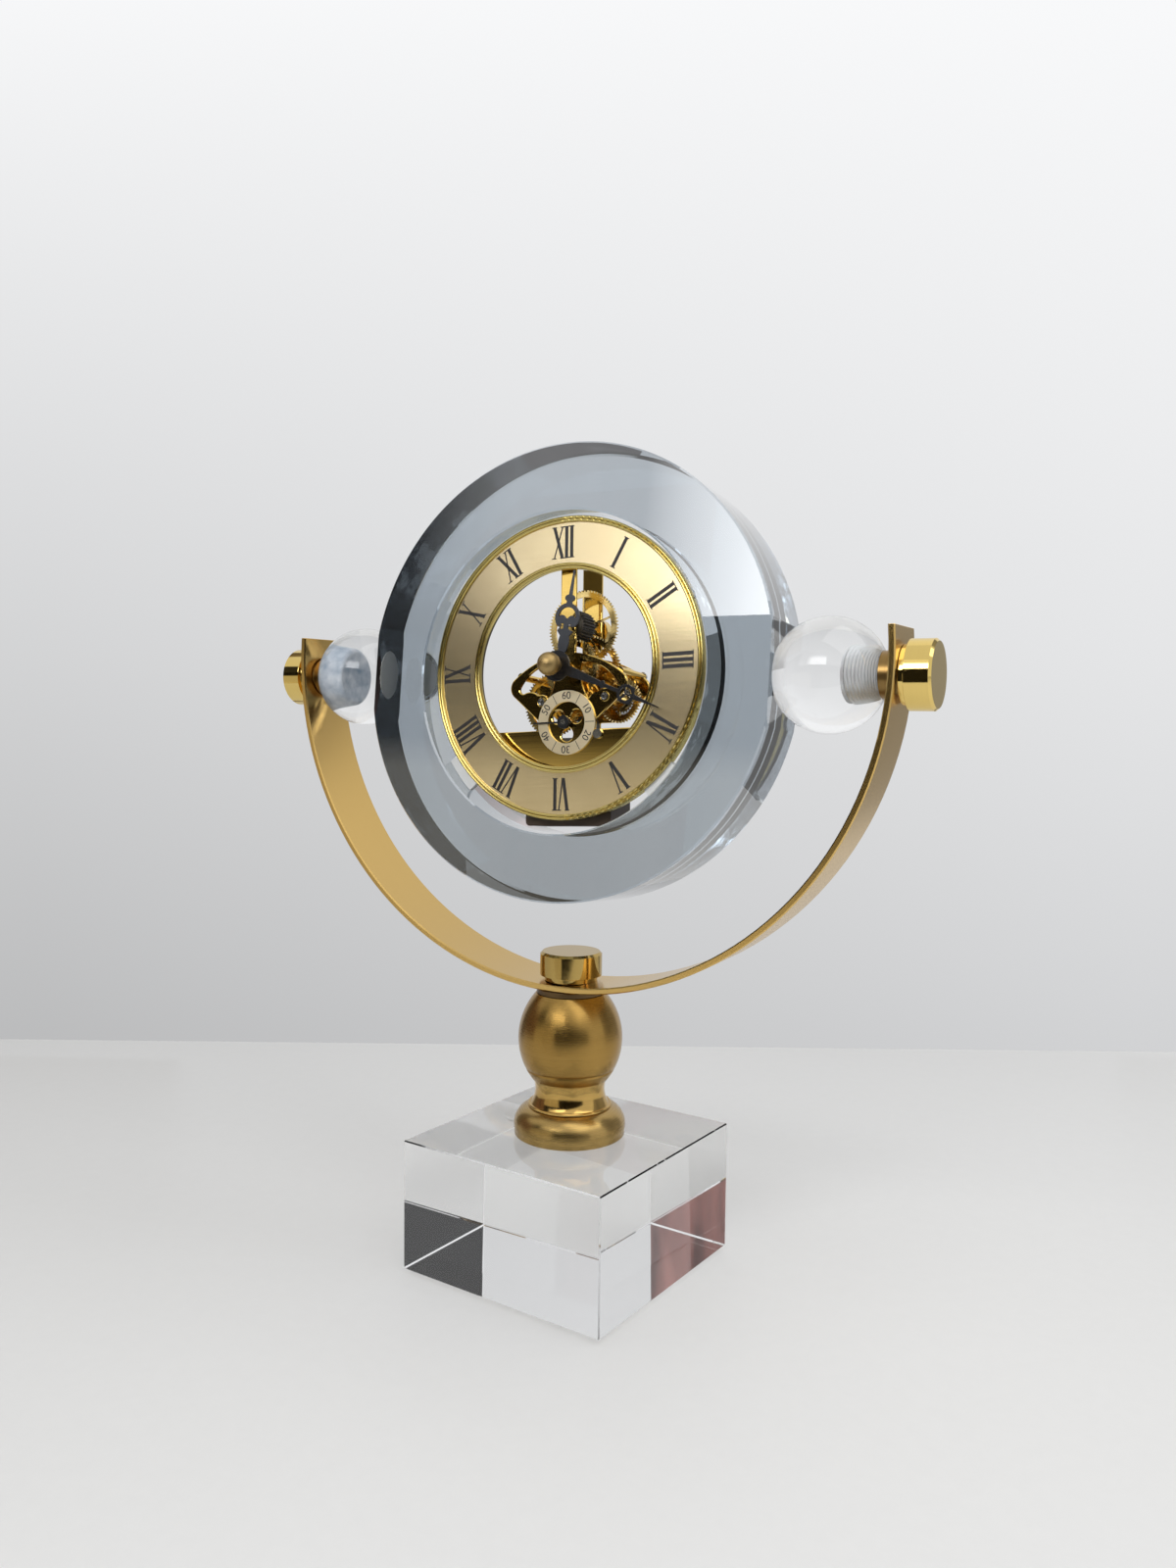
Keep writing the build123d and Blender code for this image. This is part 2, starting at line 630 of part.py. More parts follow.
# Quartz module behind the panel, with the boss that drives the seconds arbor
with BuildPart() as quartz_module:
    with BuildSketch(at(REAR_TOP)):
        Circle(MODULE_R)
        with Locations((0, -MODULE_TOP)):
            Rectangle(2 * MODULE_R, MODULE_LOW - MODULE_TOP, align=(Align.CENTER, Align.MAX),
                      mode=Mode.INTERSECT)
    extrude(amount=PLATE_SPAN)
    with BuildSketch(at(REAR_TOP)):
        with Locations((0, -(SUBDIAL_DROP + MODULE_LOW) / 2)):
            SlotCenterToCenter(MODULE_LOW - SUBDIAL_DROP - 2 * MODULE_BOSS_R, 2 * MODULE_BOSS_R, rotation=90)
        with Locations(SECOND_XY):
            Circle(MODULE_BOSS_R)
    extrude(amount=MODULE_BOSS_T)
    with BuildSketch(at(REAR_TOP, SECOND_XY)):
        Circle(ARBOR_R + RUN_GAP)
    extrude(amount=MODULE_BOSS_T, mode=Mode.SUBTRACT)
save(quartz_module.part, "quartz_module")

with BuildPart() as cell_box:
    with BuildSketch(at(FRONT_Z - BOX_D, (0, BOX_Y))):
        RectangleRounded(BOX_W, BOX_H, BOX_EDGE)
    extrude(amount=BOX_D)
    with BuildSketch(at(FRONT_Z - BOX_D, (0, BOX_Y))):
        Rectangle(BOX_W - 2 * BOX_WALL, BOX_H - 2 * BOX_WALL)
    extrude(amount=BOX_D - BOX_WALL, mode=Mode.SUBTRACT)
save(cell_box.part, "cell_box")

cell_end = at(FRONT_Z - BOX_WALL - CELL_GAP - CELL_R, (-CELL_L / 2, BOX_Y)).origin
save(disc(Plane(origin=cell_end, z_dir=INSERT.x_dir), CELL_R, CELL_L), "cell")

# Turns that put each pair in mesh at rest
to_third = bearing(CENTER_XY, THIRD_XY)
to_idler = bearing(CENTER_XY, IDLER_XY)
to_second = bearing(THIRD_XY, SECOND_XY)
third_turn = mesh_turn(to_third, CENTER_TEETH, to_third, THIRD_PINION_TEETH)
second_turn = mesh_turn(to_second, THIRD_TEETH, to_second, SECOND_PINION_TEETH)
idler_turn = mesh_turn(to_third, CENTER_TEETH, to_idler, IDLER_PINION_TEETH)
minute_turn = mesh_turn(90, CANNON_TEETH, 90, MINUTE_TEETH)
hour_turn = mesh_turn(-90, DRUM_TEETH, -90, HOUR_TEETH)


def arbor(spot, low, high, radius):
    """Plain arbor on a spot, from one height to another."""
    return disc(at(low, spot), radius, high - low)


def pinion_arbor(shaft, spot, wheel_z, teeth, turn, bore):
    """Arbor with a pinion on it, as wide as it takes to overlap the wheel that it meets."""
    with BuildPart() as piece:
        add(shaft)
        add(wheel(at(wheel_z - (PINION_T - WHEEL_T) / 2, spot), teeth, turn, bore, PINION_T))
    return piece.part


# Center arbor: its wheel, the cannon pinion, the minute hand and the cap
center_shaft = arbor(CENTER_XY, REAR_Z, CAP_Z, CENTER_R)
save(pinion_arbor(center_shaft, CENTER_XY, MINUTE_Z, CANNON_TEETH, 90, CENTER_R), "center_arbor")
save(wheel(at(CENTER_Z), CENTER_TEETH, to_third, CENTER_R, WHEEL_T, 5), "center_wheel")

# Minute work: the spoked wheel, its drum pinion and the setting knob on one arbor
save(arbor(MINUTE_XY, SET_KNOB_Z, CASE_Z, ARBOR_R), "minute_arbor")
save(wheel(at(MINUTE_Z, MINUTE_XY), MINUTE_TEETH, minute_turn, ARBOR_R, WHEEL_T, 5), "minute_wheel")
save(wheel(at(DRUM_Z, MINUTE_XY), DRUM_TEETH, -90, ARBOR_R, DRUM_L), "drum_pinion")
save(disc(at(SET_KNOB_Z, MINUTE_XY), SET_KNOB_R, SET_KNOB_T, ARBOR_R), "setting_knob")

with BuildPart() as hour_wheel:
    add(wheel(at(HOUR_Z), HOUR_TEETH, hour_turn, CENTER_R + RUN_GAP, WHEEL_T, 5))
    with BuildSketch(at(HOUR_Z)):
        Circle(PIPE_R)
        Circle(CENTER_R + RUN_GAP, mode=Mode.SUBTRACT)
    extrude(amount=HOUR_HAND_Z + HAND_T - HOUR_Z)
save(hour_wheel.part, "hour_wheel")

# Third wheel, seconds arbor and idler
third_shaft = arbor(THIRD_XY, REAR_Z, CASE_Z, ARBOR_R)
save(pinion_arbor(third_shaft, THIRD_XY, CENTER_Z, THIRD_PINION_TEETH, third_turn, ARBOR_R), "third_arbor")
save(wheel(at(THIRD_Z, THIRD_XY), THIRD_TEETH, to_second, ARBOR_R, WHEEL_T, 5), "third_wheel")
second_shaft = arbor(SECOND_XY, REAR_TOP + RUN_GAP, SECOND_HAND_Z + SECOND_HUB_T, ARBOR_R)
save(pinion_arbor(second_shaft, SECOND_XY, THIRD_Z, SECOND_PINION_TEETH, second_turn, ARBOR_R),
     "second_arbor")
idler_shaft = arbor(IDLER_XY, REAR_Z, CASE_Z, ARBOR_R)
save(pinion_arbor(idler_shaft, IDLER_XY, CENTER_Z, IDLER_PINION_TEETH, idler_turn, ARBOR_R), "idler_arbor")
save(wheel(at(IDLER_Z, IDLER_XY), IDLER_TEETH, to_idler, ARBOR_R, WHEEL_T, 4), "idler_wheel")

# Hands: each points along y on a plane turned to the time shown
minute_angle = MINUTES * 6
hour_angle = MINUTES / 2
second_angle = SECONDS * 6


def blade(*points):
    """Edges of a flat blade, the same on both sides of the hand's line, through half of its outline."""
    with BuildLine() as outline:
        Polyline((0, points[0][1]), *points, (0, points[-1][1]))
        mirror(about=Plane.YZ)
    return outline.edges()


# Hour hand: barrel and collar, an open ring with two lobes in it, a bead and a spike
with BuildPart() as hour_hand:
    with BuildSketch(at(HOUR_HAND_Z, turn=-hour_angle)):
        size, spot = HOUR_RING_R, HOUR_RING_AT
        with Locations((0, spot)):
            Circle(size)
            Circle(HAND_HOLE_SHARE * size, mode=Mode.SUBTRACT)
        with Locations(*((side * 0.4 * size, spot - 0.2 * size) for side in (-1, 1))):
            Circle(0.32 * size)
        with Locations((0, spot - 0.68 * size)):
            Rectangle(2 * size, size, align=(Align.CENTER, Align.MAX), mode=Mode.SUBTRACT)
        make_face(blade((0.2 * size, 0), (0.2 * size, spot - 0.1 * size)))
        with Locations((0, spot - 1.85 * size)):
            Ellipse(0.43 * size, 0.85 * size)
        make_face(blade((0.3 * size, spot - 1.45 * size), (0.67 * size, spot - 1.02 * size),
                        (0.2 * size, spot - 0.85 * size)))
        make_face(blade((0.25 * size, spot + 0.9 * size), (0.2 * size, spot + 1.2 * size)))
        with Locations((0, spot + 1.36 * size)):
            Ellipse(0.41 * size, 0.27 * size)
        make_face(blade((0.14 * size, spot + 1.5 * size), (0.05 * size, HOUR_HAND_L)))
        Circle(HOUR_HUB_R)
        Circle(PIPE_R, mode=Mode.SUBTRACT)
    extrude(amount=HAND_T)
save(hour_hand.part, "hour_hand")

# Minute hand: tapered bar, a bead, a stem, a spoked ring with two horns and a spike
with BuildPart() as minute_hand:
    with BuildSketch(at(MINUTE_HAND_Z, turn=-minute_angle)):
        size, spot = MINUTE_RING_R, MINUTE_RING_AT
        make_face(blade((0.97 * size, spot + 0.2 * size), (0.9 * size, spot + 0.8 * size),
                        (0.3 * size, spot + 0.92 * size)))
        with Locations((0, spot)):
            Circle(size)
            Circle(HAND_HOLE_SHARE * size, mode=Mode.SUBTRACT)
            with PolarLocations(0, 3, start_angle=90):
                Rectangle(0.85 * size, SPOKE_W, align=(Align.MIN, Align.CENTER))
        make_face(blade((0.6 * size, 0), (0.6 * size, 0.13 * spot), (0.26 * size, spot - 3.2 * size)))
        with Locations((0, spot - 2.93 * size)):
            Ellipse(0.42 * size, 0.25 * size)
        make_face(blade((0.2 * size, 0), (0.2 * size, spot - 0.9 * size)))
        make_face(blade((0.28 * size, spot + 0.8 * size), (0.16 * size, spot + 2.4 * size),
                        (0.06 * size, MINUTE_HAND_L)))
        Circle(MINUTE_HUB_R)
        Circle(CENTER_R, mode=Mode.SUBTRACT)
    extrude(amount=HAND_T)
save(minute_hand.part, "minute_hand")

with BuildPart() as hand_cap:
    with BuildSketch(at(MINUTE_HAND_Z + HAND_T)):
        Circle(CAP_STEM_R)
    extrude(amount=CAP_Z - MINUTE_HAND_Z - HAND_T)
    with Locations(at(CAP_Z)):
        Sphere(CAP_R)
    with BuildSketch(at(MINUTE_HAND_Z + HAND_T)):
        Circle(CENTER_R)
    extrude(amount=CAP_Z - MINUTE_HAND_Z - HAND_T, mode=Mode.SUBTRACT)
save(hand_cap.part, "hand_cap")

with BuildPart() as second_hand:
    with BuildSketch(at(SECOND_HAND_Z, SECOND_XY, -second_angle)):
        Rectangle(SECOND_HAND_W, SECOND_HAND_L, align=(Align.CENTER, Align.MIN))
        Circle(ARBOR_R, mode=Mode.SUBTRACT)
    extrude(amount=HAND_T / 2)
    with BuildSketch(at(SECOND_HAND_Z, SECOND_XY)):
        Circle(SECOND_HUB_R)
        Circle(ARBOR_R, mode=Mode.SUBTRACT)
    extrude(amount=SECOND_HUB_T)
save(second_hand.part, "second_hand")
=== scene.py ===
"""Dresses the mystery clock: finishes for every solid, the glass, the numerals, the stage and the camera."""

import json
import logging
from dataclasses import dataclass
from enum import Enum
from math import atan2, cos, pi, radians, sin, sqrt
from typing import Any, ClassVar, Iterable, Sequence, Union

import bmesh
import bpy
from mathutils import Matrix, Vector


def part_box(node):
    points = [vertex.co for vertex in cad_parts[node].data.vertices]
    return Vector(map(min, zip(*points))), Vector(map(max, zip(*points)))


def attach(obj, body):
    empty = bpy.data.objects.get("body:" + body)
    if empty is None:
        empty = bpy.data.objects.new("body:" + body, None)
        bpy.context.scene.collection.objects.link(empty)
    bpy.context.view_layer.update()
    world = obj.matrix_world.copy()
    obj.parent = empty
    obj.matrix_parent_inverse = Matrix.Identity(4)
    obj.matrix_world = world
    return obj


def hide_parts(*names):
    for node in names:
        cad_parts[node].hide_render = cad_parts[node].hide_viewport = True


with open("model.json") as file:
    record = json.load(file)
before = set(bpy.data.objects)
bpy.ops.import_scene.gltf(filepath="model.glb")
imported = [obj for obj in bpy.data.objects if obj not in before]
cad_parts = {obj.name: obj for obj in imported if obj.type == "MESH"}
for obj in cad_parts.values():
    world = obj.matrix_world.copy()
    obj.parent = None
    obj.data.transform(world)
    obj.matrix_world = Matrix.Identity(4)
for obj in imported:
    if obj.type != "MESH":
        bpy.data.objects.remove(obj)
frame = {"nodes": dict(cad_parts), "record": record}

log = logging.getLogger("mystery_clock")
Point = tuple[float, float]
Point3 = tuple[float, float, float]
Colour = tuple[float, float, float]
MM = 0.001
MODEL = Matrix.Scale(MM, 4)  # millimetres to the model's metres
UP = Vector((0.0, 0.0, 1.0))
SOFT_CREASE = 20.0  # degrees from which an edge of a softened piece is sharp
PRINT_GAP = 0.01  # air under print, millimetres


class Body(Enum):
    """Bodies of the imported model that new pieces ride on."""

    STAND = "stand"
    HEAD = "head"
    CENTER = "center"
    HOUR = "hour"
    SECONDS = "seconds"


class Grain(Enum):
    """How a metal was worked, which is the way its fine lines run."""

    CAST = "cast"
    STRAIGHT = "straight"
    TURNED = "turned"


class Ray(Enum):
    """Rays that a card of the stage is shown to: off a mirror, or out of glass that mirrored them inside."""

    METAL = "Is Reflection Ray"
    GLASS = "Is Transmission Ray"


class Value:
    """Output socket that takes part in Python arithmetic."""

    def __init__(self, graph: "Graph", socket: bpy.types.NodeSocket) -> None:
        """Keep the socket and the graph that it belongs to."""
        self.graph = graph
        self.socket = socket

    def _math(self, operation: str, left: "Number", right: "Number") -> "Value":
        """Add a Math node to the graph and give its output."""
        return self.graph.node("ShaderNodeMath", {"operation": operation}, {0: left, 1: right})

    def __add__(self, other: "Number") -> "Value":
        """Sum with a value or a number."""
        return self._math("ADD", self, other)

    def __radd__(self, other: "Number") -> "Value":
        """Sum with a number on the left."""
        return self._math("ADD", other, self)

    def __sub__(self, other: "Number") -> "Value":
        """Difference from a value or a number."""
        return self._math("SUBTRACT", self, other)

    def __rsub__(self, other: "Number") -> "Value":
        """Difference with a number on the left."""
        return self._math("SUBTRACT", other, self)

    def __mul__(self, other: "Number") -> "Value":
        """Product with a value or a number."""
        return self._math("MULTIPLY", self, other)

    def __rmul__(self, other: "Number") -> "Value":
        """Product with a number on the left."""
        return self._math("MULTIPLY", other, self)

    def __truediv__(self, other: "Number") -> "Value":
        """Quotient by a value or a number."""
        return self._math("DIVIDE", self, other)

    def __pow__(self, other: "Number") -> "Value":
        """Power of a value or a number."""
        return self._math("POWER", self, other)

    def at_most(self, other: "Number") -> "Value":
        """Smaller of this and another value."""
        return self._math("MINIMUM", self, other)

    def at_least(self, other: "Number") -> "Value":
        """Larger of this and another value."""
        return self._math("MAXIMUM", self, other)

    def clamped(self) -> "Value":
        """This value, kept from 0 to 1."""
        return self.at_least(0.0).at_most(1.0)


Number = Union[Value, float]


class Graph:
    """Node tree that is written as expressions."""

    def __init__(self, tree: bpy.types.NodeTree) -> None:
        """Empty the tree.

        Args:
            tree: Node tree of a material or of the world.
        """
        self.tree = tree
        tree.nodes.clear()

    def node(self, kind: str, settings: dict[str, Any], sockets: dict[Any, Any], out: Any = 0) -> Value:
        """Add a node.

        Args:
            kind: Type name of the node.
            settings: Settings of the node, set first; "stops" gives a ramp's places and colours.
            sockets: Values or links of its inputs, by name or number.
            out: Output to give, by name or number.

        Returns:
            The output as a value.
        """
        made = self.tree.nodes.new(kind)
        for key, setting in settings.items():
            if key == "stops":
                self._stops(made.color_ramp, setting)
            else:
                setattr(made, key, setting)
        for key, given in sockets.items():
            if isinstance(given, Value):
                self.tree.links.new(given.socket, made.inputs[key])
            else:
                made.inputs[key].default_value = given
        return Value(self, made.outputs[out] if made.outputs else None)

    def _stops(self, ramp: bpy.types.ColorRamp, stops: Sequence[tuple[float, Colour]]) -> None:
        """Give a ramp its stops, each a place and a colour.

        Args:
            ramp: The ramp.
            stops: Places from 0 to 1 and their colours.
        """
        while len(ramp.elements) < len(stops):
            ramp.elements.new(1.0)
        for element, (place, colour) in zip(ramp.elements, stops):
            element.position = place
            element.color = (*colour, 1.0)

    def coords(self) -> Value:
        """Object coordinates, which are the model's own metres."""
        return self.node("ShaderNodeTexCoord", {}, {}, "Object")

    def along(self, point: Value, axis: Vector) -> Value:
        """Length of a point along an axis."""
        sockets = {0: point, 1: tuple(axis)}
        return self.node("ShaderNodeVectorMath", {"operation": "DOT_PRODUCT"}, sockets, "Value")

    def noise(self, vector: Value, scale: float, detail: float = 3.0, rough: float = 0.5) -> Value:
        """Noise from 0 to 1 on a vector."""
        sockets = {"Vector": vector, "Scale": scale, "Detail": detail, "Roughness": rough}
        return self.node("ShaderNodeTexNoise", {}, sockets)

    def vector(self, x: Number, y: Number, z: Number) -> Value:
        """Vector from three numbers."""
        return self.node("ShaderNodeCombineXYZ", {}, {0: x, 1: y, 2: z})

    def blend(self, factor: Number, low: Any, high: Any) -> Value:
        """Colour between two colours."""
        return self.node("ShaderNodeMix", {"data_type": "RGBA"},
                         {0: factor, 6: self._colour(low), 7: self._colour(high)}, 2)

    def _colour(self, colour: Any) -> Any:
        """Colour as a socket takes it."""
        return colour if isinstance(colour, Value) else (*colour, 1.0)

    def bump(self, height: Value, strength: float, distance: float) -> Value:
        """Normal that follows a height."""
        return self.node("ShaderNodeBump", {}, {"Strength": strength, "Distance": distance, "Height": height})

    def ray(self, answer: str) -> Value:
        """What the Light Path node says of a ray."""
        return self.node("ShaderNodeLightPath", {}, {}, answer)

    def principled(self, sockets: dict[str, Any]) -> Value:
        """Principled shader with these sockets."""
        return self.node("ShaderNodeBsdfPrincipled", {}, sockets)

    def glow_or_clear(self, colour: Value, glow: int, factor: Value) -> None:
        """Close the graph with a glow that is clear to some rays.

        Args:
            colour: Colour of the glow.
            glow: Which of the mixed shaders the glow is, 1 or 2.
            factor: Share of the second shader.
        """
        lit = self.node("ShaderNodeEmission", {}, {"Color": colour, "Strength": 1.0})
        clear = self.node("ShaderNodeBsdfTransparent", {}, {})
        self.output(self.node("ShaderNodeMixShader", {}, {0: factor, glow: lit, 3 - glow: clear}))

    def output(self, shader: Value, volume: Value | None = None) -> None:
        """Close the graph with its surface, and its volume where it has one.

        Args:
            shader: The surface.
            volume: What fills the shape.
        """
        sockets = {"Surface": shader}
        if volume:
            sockets["Volume"] = volume
        self.node("ShaderNodeOutputMaterial", {}, sockets)


@dataclass(frozen=True)
class Finish:
    """Look of one kind of surface.

    Attributes:
        name: Name of the material.
        colour: Main colour, linear.
        roughness: Middle roughness.
    """

    name: str
    colour: Colour
    roughness: float

    def material(self) -> bpy.types.Material:
        """Make the material, or give it where it is made already.

        Returns:
            The material.
        """
        made = bpy.data.materials.get(self.name)
        if made is None:
            made = bpy.data.materials.new(self.name)
            made.use_nodes = True
            self.paint(Graph(made.node_tree))
        return made

    def paint(self, graph: Graph) -> None:
        """Fill the material's graph."""
        raise NotImplementedError


@dataclass(frozen=True)
class Metal(Finish):
    """Worked metal with fine lines and a little tarnish.

    Attributes:
        grain: How it was worked.
        lines: Lines for each metre across the grain.
        depth: Strength of the lines.
        tarnish: Colour that the metal darkens to.
        tarnished: Share of tarnish.
        axis: Line that the grain follows or turns about.
        origin: Point on that axis.
        spread: How far the lines change the roughness.
        bare: Share of bare metal; the rest is matt.
        lacquer: Weight of a clear lacquer over it.
        stretch: How far its shine is drawn out across the grain.
    """

    grain: Grain = Grain.CAST
    lines: float = 3000.0
    depth: float = 0.1
    tarnish: Colour = (0.2, 0.13, 0.05)
    tarnished: float = 0.2
    axis: Point3 = (0.0, 0.0, 1.0)
    origin: Point3 = (0.0, 0.0, 0.0)
    spread: float = 0.12
    bare: float = 1.0
    lacquer: float = 0.0
    stretch: float = 0.0

    LINE_NOISE: ClassVar[Point] = (4.0, 0.65)  # detail and roughness of the lines
    LINE_HEIGHT: ClassVar[float] = 0.00005
    LINE_SHARE: ClassVar[float] = 0.9  # how far lines hold tarnish
    PATCHES: ClassVar[float] = 60.0  # patches of tarnish for each metre
    PATCH_GAIN: ClassVar[float] = 1.4
    PATCH_SHIFT: ClassVar[float] = 0.2
    LEAST_ROUGH: ClassVar[float] = 0.03
    LACQUER_ROUGH: ClassVar[float] = 0.2
    SHINE_TURN: ClassVar[float] = 0.25  # quarter turn, so the shine runs across the grooves
    WANDER: ClassVar[float] = 20.0  # changes for each metre along a turned line
    DRAWN: ClassVar[float] = 0.02  # share of the lines' number along straight ones
    PITTED: ClassVar[float] = 0.3  # share of the lines' number on cast metal

    def paint(self, graph: Graph) -> None:
        """Lines along or around the axis over slow patches of tarnish.

        Args:
            graph: Empty graph of the material.
        """
        sockets = {0: graph.coords(), 1: self.origin}
        place = graph.node("ShaderNodeVectorMath", {"operation": "SUBTRACT"}, sockets)
        line = graph.noise(self._worked(graph, place), 1.0, *self.LINE_NOISE)
        patch = graph.noise(place, self.PATCHES)
        worn = patch * self.PATCH_GAIN - self.PATCH_SHIFT + (line - 0.5) * self.LINE_SHARE
        rough = self.roughness + (line - 0.5) * self.spread + (patch - 0.5) * self.spread * 0.5
        graph.output(graph.principled({
            "Base Color": graph.blend((worn * self.tarnished).clamped(), self.colour, self.tarnish),
            "Metallic": self.bare,
            "Roughness": rough.at_least(self.LEAST_ROUGH),
            "Normal": graph.bump(line, self.depth, self.LINE_HEIGHT),
            "Coat Weight": self.lacquer,
            "Coat Roughness": self.LACQUER_ROUGH,
            "Anisotropic": self.stretch,
            "Anisotropic Rotation": self.SHINE_TURN,
        }))

    def _worked(self, graph: Graph, place: Value) -> Value:
        """Coordinates that are stretched the way the metal was worked.

        Args:
            graph: Graph of the material.
            place: Coordinates from the axis's point.

        Returns:
            The coordinates.
        """
        axis = Vector(self.axis).normalized()
        side = axis.orthogonal().normalized()
        other = axis.cross(side)
        if self.grain is Grain.TURNED:
            along = graph.along(place, axis)
            first = graph.along(place, side)
            second = graph.along(place, other)
            reach = (first * first + second * second) ** 0.5
            return graph.vector(along * self.lines, reach * self.lines, first * self.WANDER)
        if self.grain is Grain.STRAIGHT:
            along = graph.along(place, axis)
            return graph.vector(along * self.lines * self.DRAWN, graph.along(place, side) * self.lines,
                                graph.along(place, other) * self.lines)
        sockets = {0: place, "Scale": self.lines * self.PITTED}
        return graph.node("ShaderNodeVectorMath", {"operation": "SCALE"}, sockets)


@dataclass(frozen=True)
class Glass(Finish):
    """Crystal, clear or smoked through its depth.

    Attributes:
        index: Refractive index.
        depth_colour: Colour that light keeps as it goes through the crystal.
        density: Strength of that colour for each metre; 0 is clear.
        haze: Share of wiping marks on the surface.
        shine: Weight of the bright polish.
        shine_index: Refractive index of the polish.
    """

    index: float = 1.5
    depth_colour: Colour = (0.5, 0.5, 0.5)
    density: float = 0.0
    haze: float = 0.02
    shine: float = 0.0
    shine_index: float = 1.5

    MARKS: ClassVar[Point3] = (35.0, 4.0, 0.6)  # wiping marks for each metre, their detail and roughness
    MARK_SHARE: ClassVar[float] = 0.3
    MARK_SHADE: ClassVar[float] = 0.98

    def paint(self, graph: Graph) -> None:
        """Polished glass with faint wiping marks.

        Args:
            graph: Empty graph of the material.
        """
        mark = graph.noise(graph.coords(), *self.MARKS)
        wipe = (mark - 0.5).at_least(0.0) * self.haze
        dull = tuple(self.MARK_SHADE * part for part in self.colour)
        shader = graph.principled({
            "Base Color": graph.blend(mark * self.MARK_SHARE, self.colour, dull),
            "Roughness": wipe + self.roughness,
            "IOR": self.index,
            "Transmission Weight": 1.0,
            "Coat Weight": self.shine,
            "Coat IOR": self.shine_index,
            "Coat Roughness": 0.0,
        })
        volume = None
        if self.density:
            sockets = {"Color": (*self.depth_colour, 1.0), "Density": self.density}
            volume = graph.node("ShaderNodeVolumeAbsorption", {}, sockets)
        graph.output(shader, volume)


@dataclass(frozen=True)
class Coat(Finish):
    """Paint, ink, plastic or rubber.

    Attributes:
        mottle: Share of the second colour.
        second: Colour of the mottling.
        grit: Strength of the fine texture.
        scale: Size of the texture, patches for each metre.
    """

    mottle: float = 0.3
    second: Colour = (0.1, 0.1, 0.1)
    grit: float = 0.05
    scale: float = 900.0

    SLOW: ClassVar[float] = 0.1  # size of the grit over that of the mottling
    SLOW_DETAIL: ClassVar[float] = 2.0
    SPREAD: ClassVar[float] = 0.12  # how far the grit changes the roughness
    GRIT_HEIGHT: ClassVar[float] = 0.0001

    def paint(self, graph: Graph) -> None:
        """Fine grit and slow mottling.

        Args:
            graph: Empty graph of the material.
        """
        place = graph.coords()
        fine = graph.noise(place, self.scale)
        slow = graph.noise(place, self.scale * self.SLOW, self.SLOW_DETAIL)
        graph.output(graph.principled({
            "Base Color": graph.blend(slow * self.mottle, self.colour, self.second),
            "Roughness": self.roughness + (fine - 0.5) * self.SPREAD,
            "Normal": graph.bump(fine, self.grit, self.GRIT_HEIGHT),
        }))


@dataclass(frozen=True)
class Place:
    """Right-handed frame in the model, in metres.

    Attributes:
        origin: Where its middle is.
        right: Its x direction.
        up: Its y direction.
        out: Its z direction.
    """

    origin: Vector
    right: Vector
    up: Vector
    out: Vector

    def metres(self) -> Matrix:
        """Matrix that takes metres in this frame to the model's."""
        turn = Matrix((self.right, self.up, self.out)).transposed().to_4x4()
        return Matrix.Translation(self.origin) @ turn

    def matrix(self) -> Matrix:
        """Matrix that takes millimetres in this frame to metres in the model."""
        return self.metres() @ MODEL


def joint(name: str) -> dict[str, Any]:
    """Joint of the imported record, by name."""
    return next(item for item in frame["record"]["behaviour"]["joints"] if item["name"] == name)


def insert_place() -> Place:
    """Frame of the clock insert: the dial's axis, with twelve o'clock up.

    Returns:
        The frame.
    """
    origin = Vector(joint("minute_turn")["pos_m"])
    out = Vector(joint("minute_turn")["axis"]).normalized()
    up = (Vector(joint("minute_work_turn")["pos_m"]) - origin).normalized()
    return Place(origin, up.cross(out), up, out)


def head_place() -> Place:
    """Frame of the leaning ring, on its pivots' line.

    Returns:
        The frame.
    """
    out = Vector(joint("minute_turn")["axis"]).normalized()
    right = Vector((1.0, 0.0, 0.0))
    return Place(Vector(joint("head_tilt")["pos_m"]), right, out.cross(right), out)


def arc(start: Point, middle: Point, end: Point, parts: int) -> list[Point]:
    """Points on the circle through three points.

    Args:
        start: First point.
        middle: Point between the ends.
        end: Last point.
        parts: Steps from the first to the last.

    Returns:
        The points, both ends among them.
    """
    (ax, ay), (bx, by), (cx, cy) = start, middle, end
    twice = 2 * (ax * (by - cy) + bx * (cy - ay) + cx * (ay - by))
    a2, b2, c2 = ax * ax + ay * ay, bx * bx + by * by, cx * cx + cy * cy
    ox = (a2 * (by - cy) + b2 * (cy - ay) + c2 * (ay - by)) / twice
    oy = (a2 * (cx - bx) + b2 * (ax - cx) + c2 * (bx - ax)) / twice
    radius = sqrt((ax - ox) ** 2 + (ay - oy) ** 2)
    first, mid, last = (atan2(y - oy, x - ox) for x, y in (start, middle, end))
    sweep = (last - first) % (2 * pi)
    if (mid - first) % (2 * pi) > sweep:
        sweep -= 2 * pi
    turns = [first + sweep * step / parts for step in range(parts + 1)]
    return [(ox + radius * cos(turn), oy + radius * sin(turn)) for turn in turns]


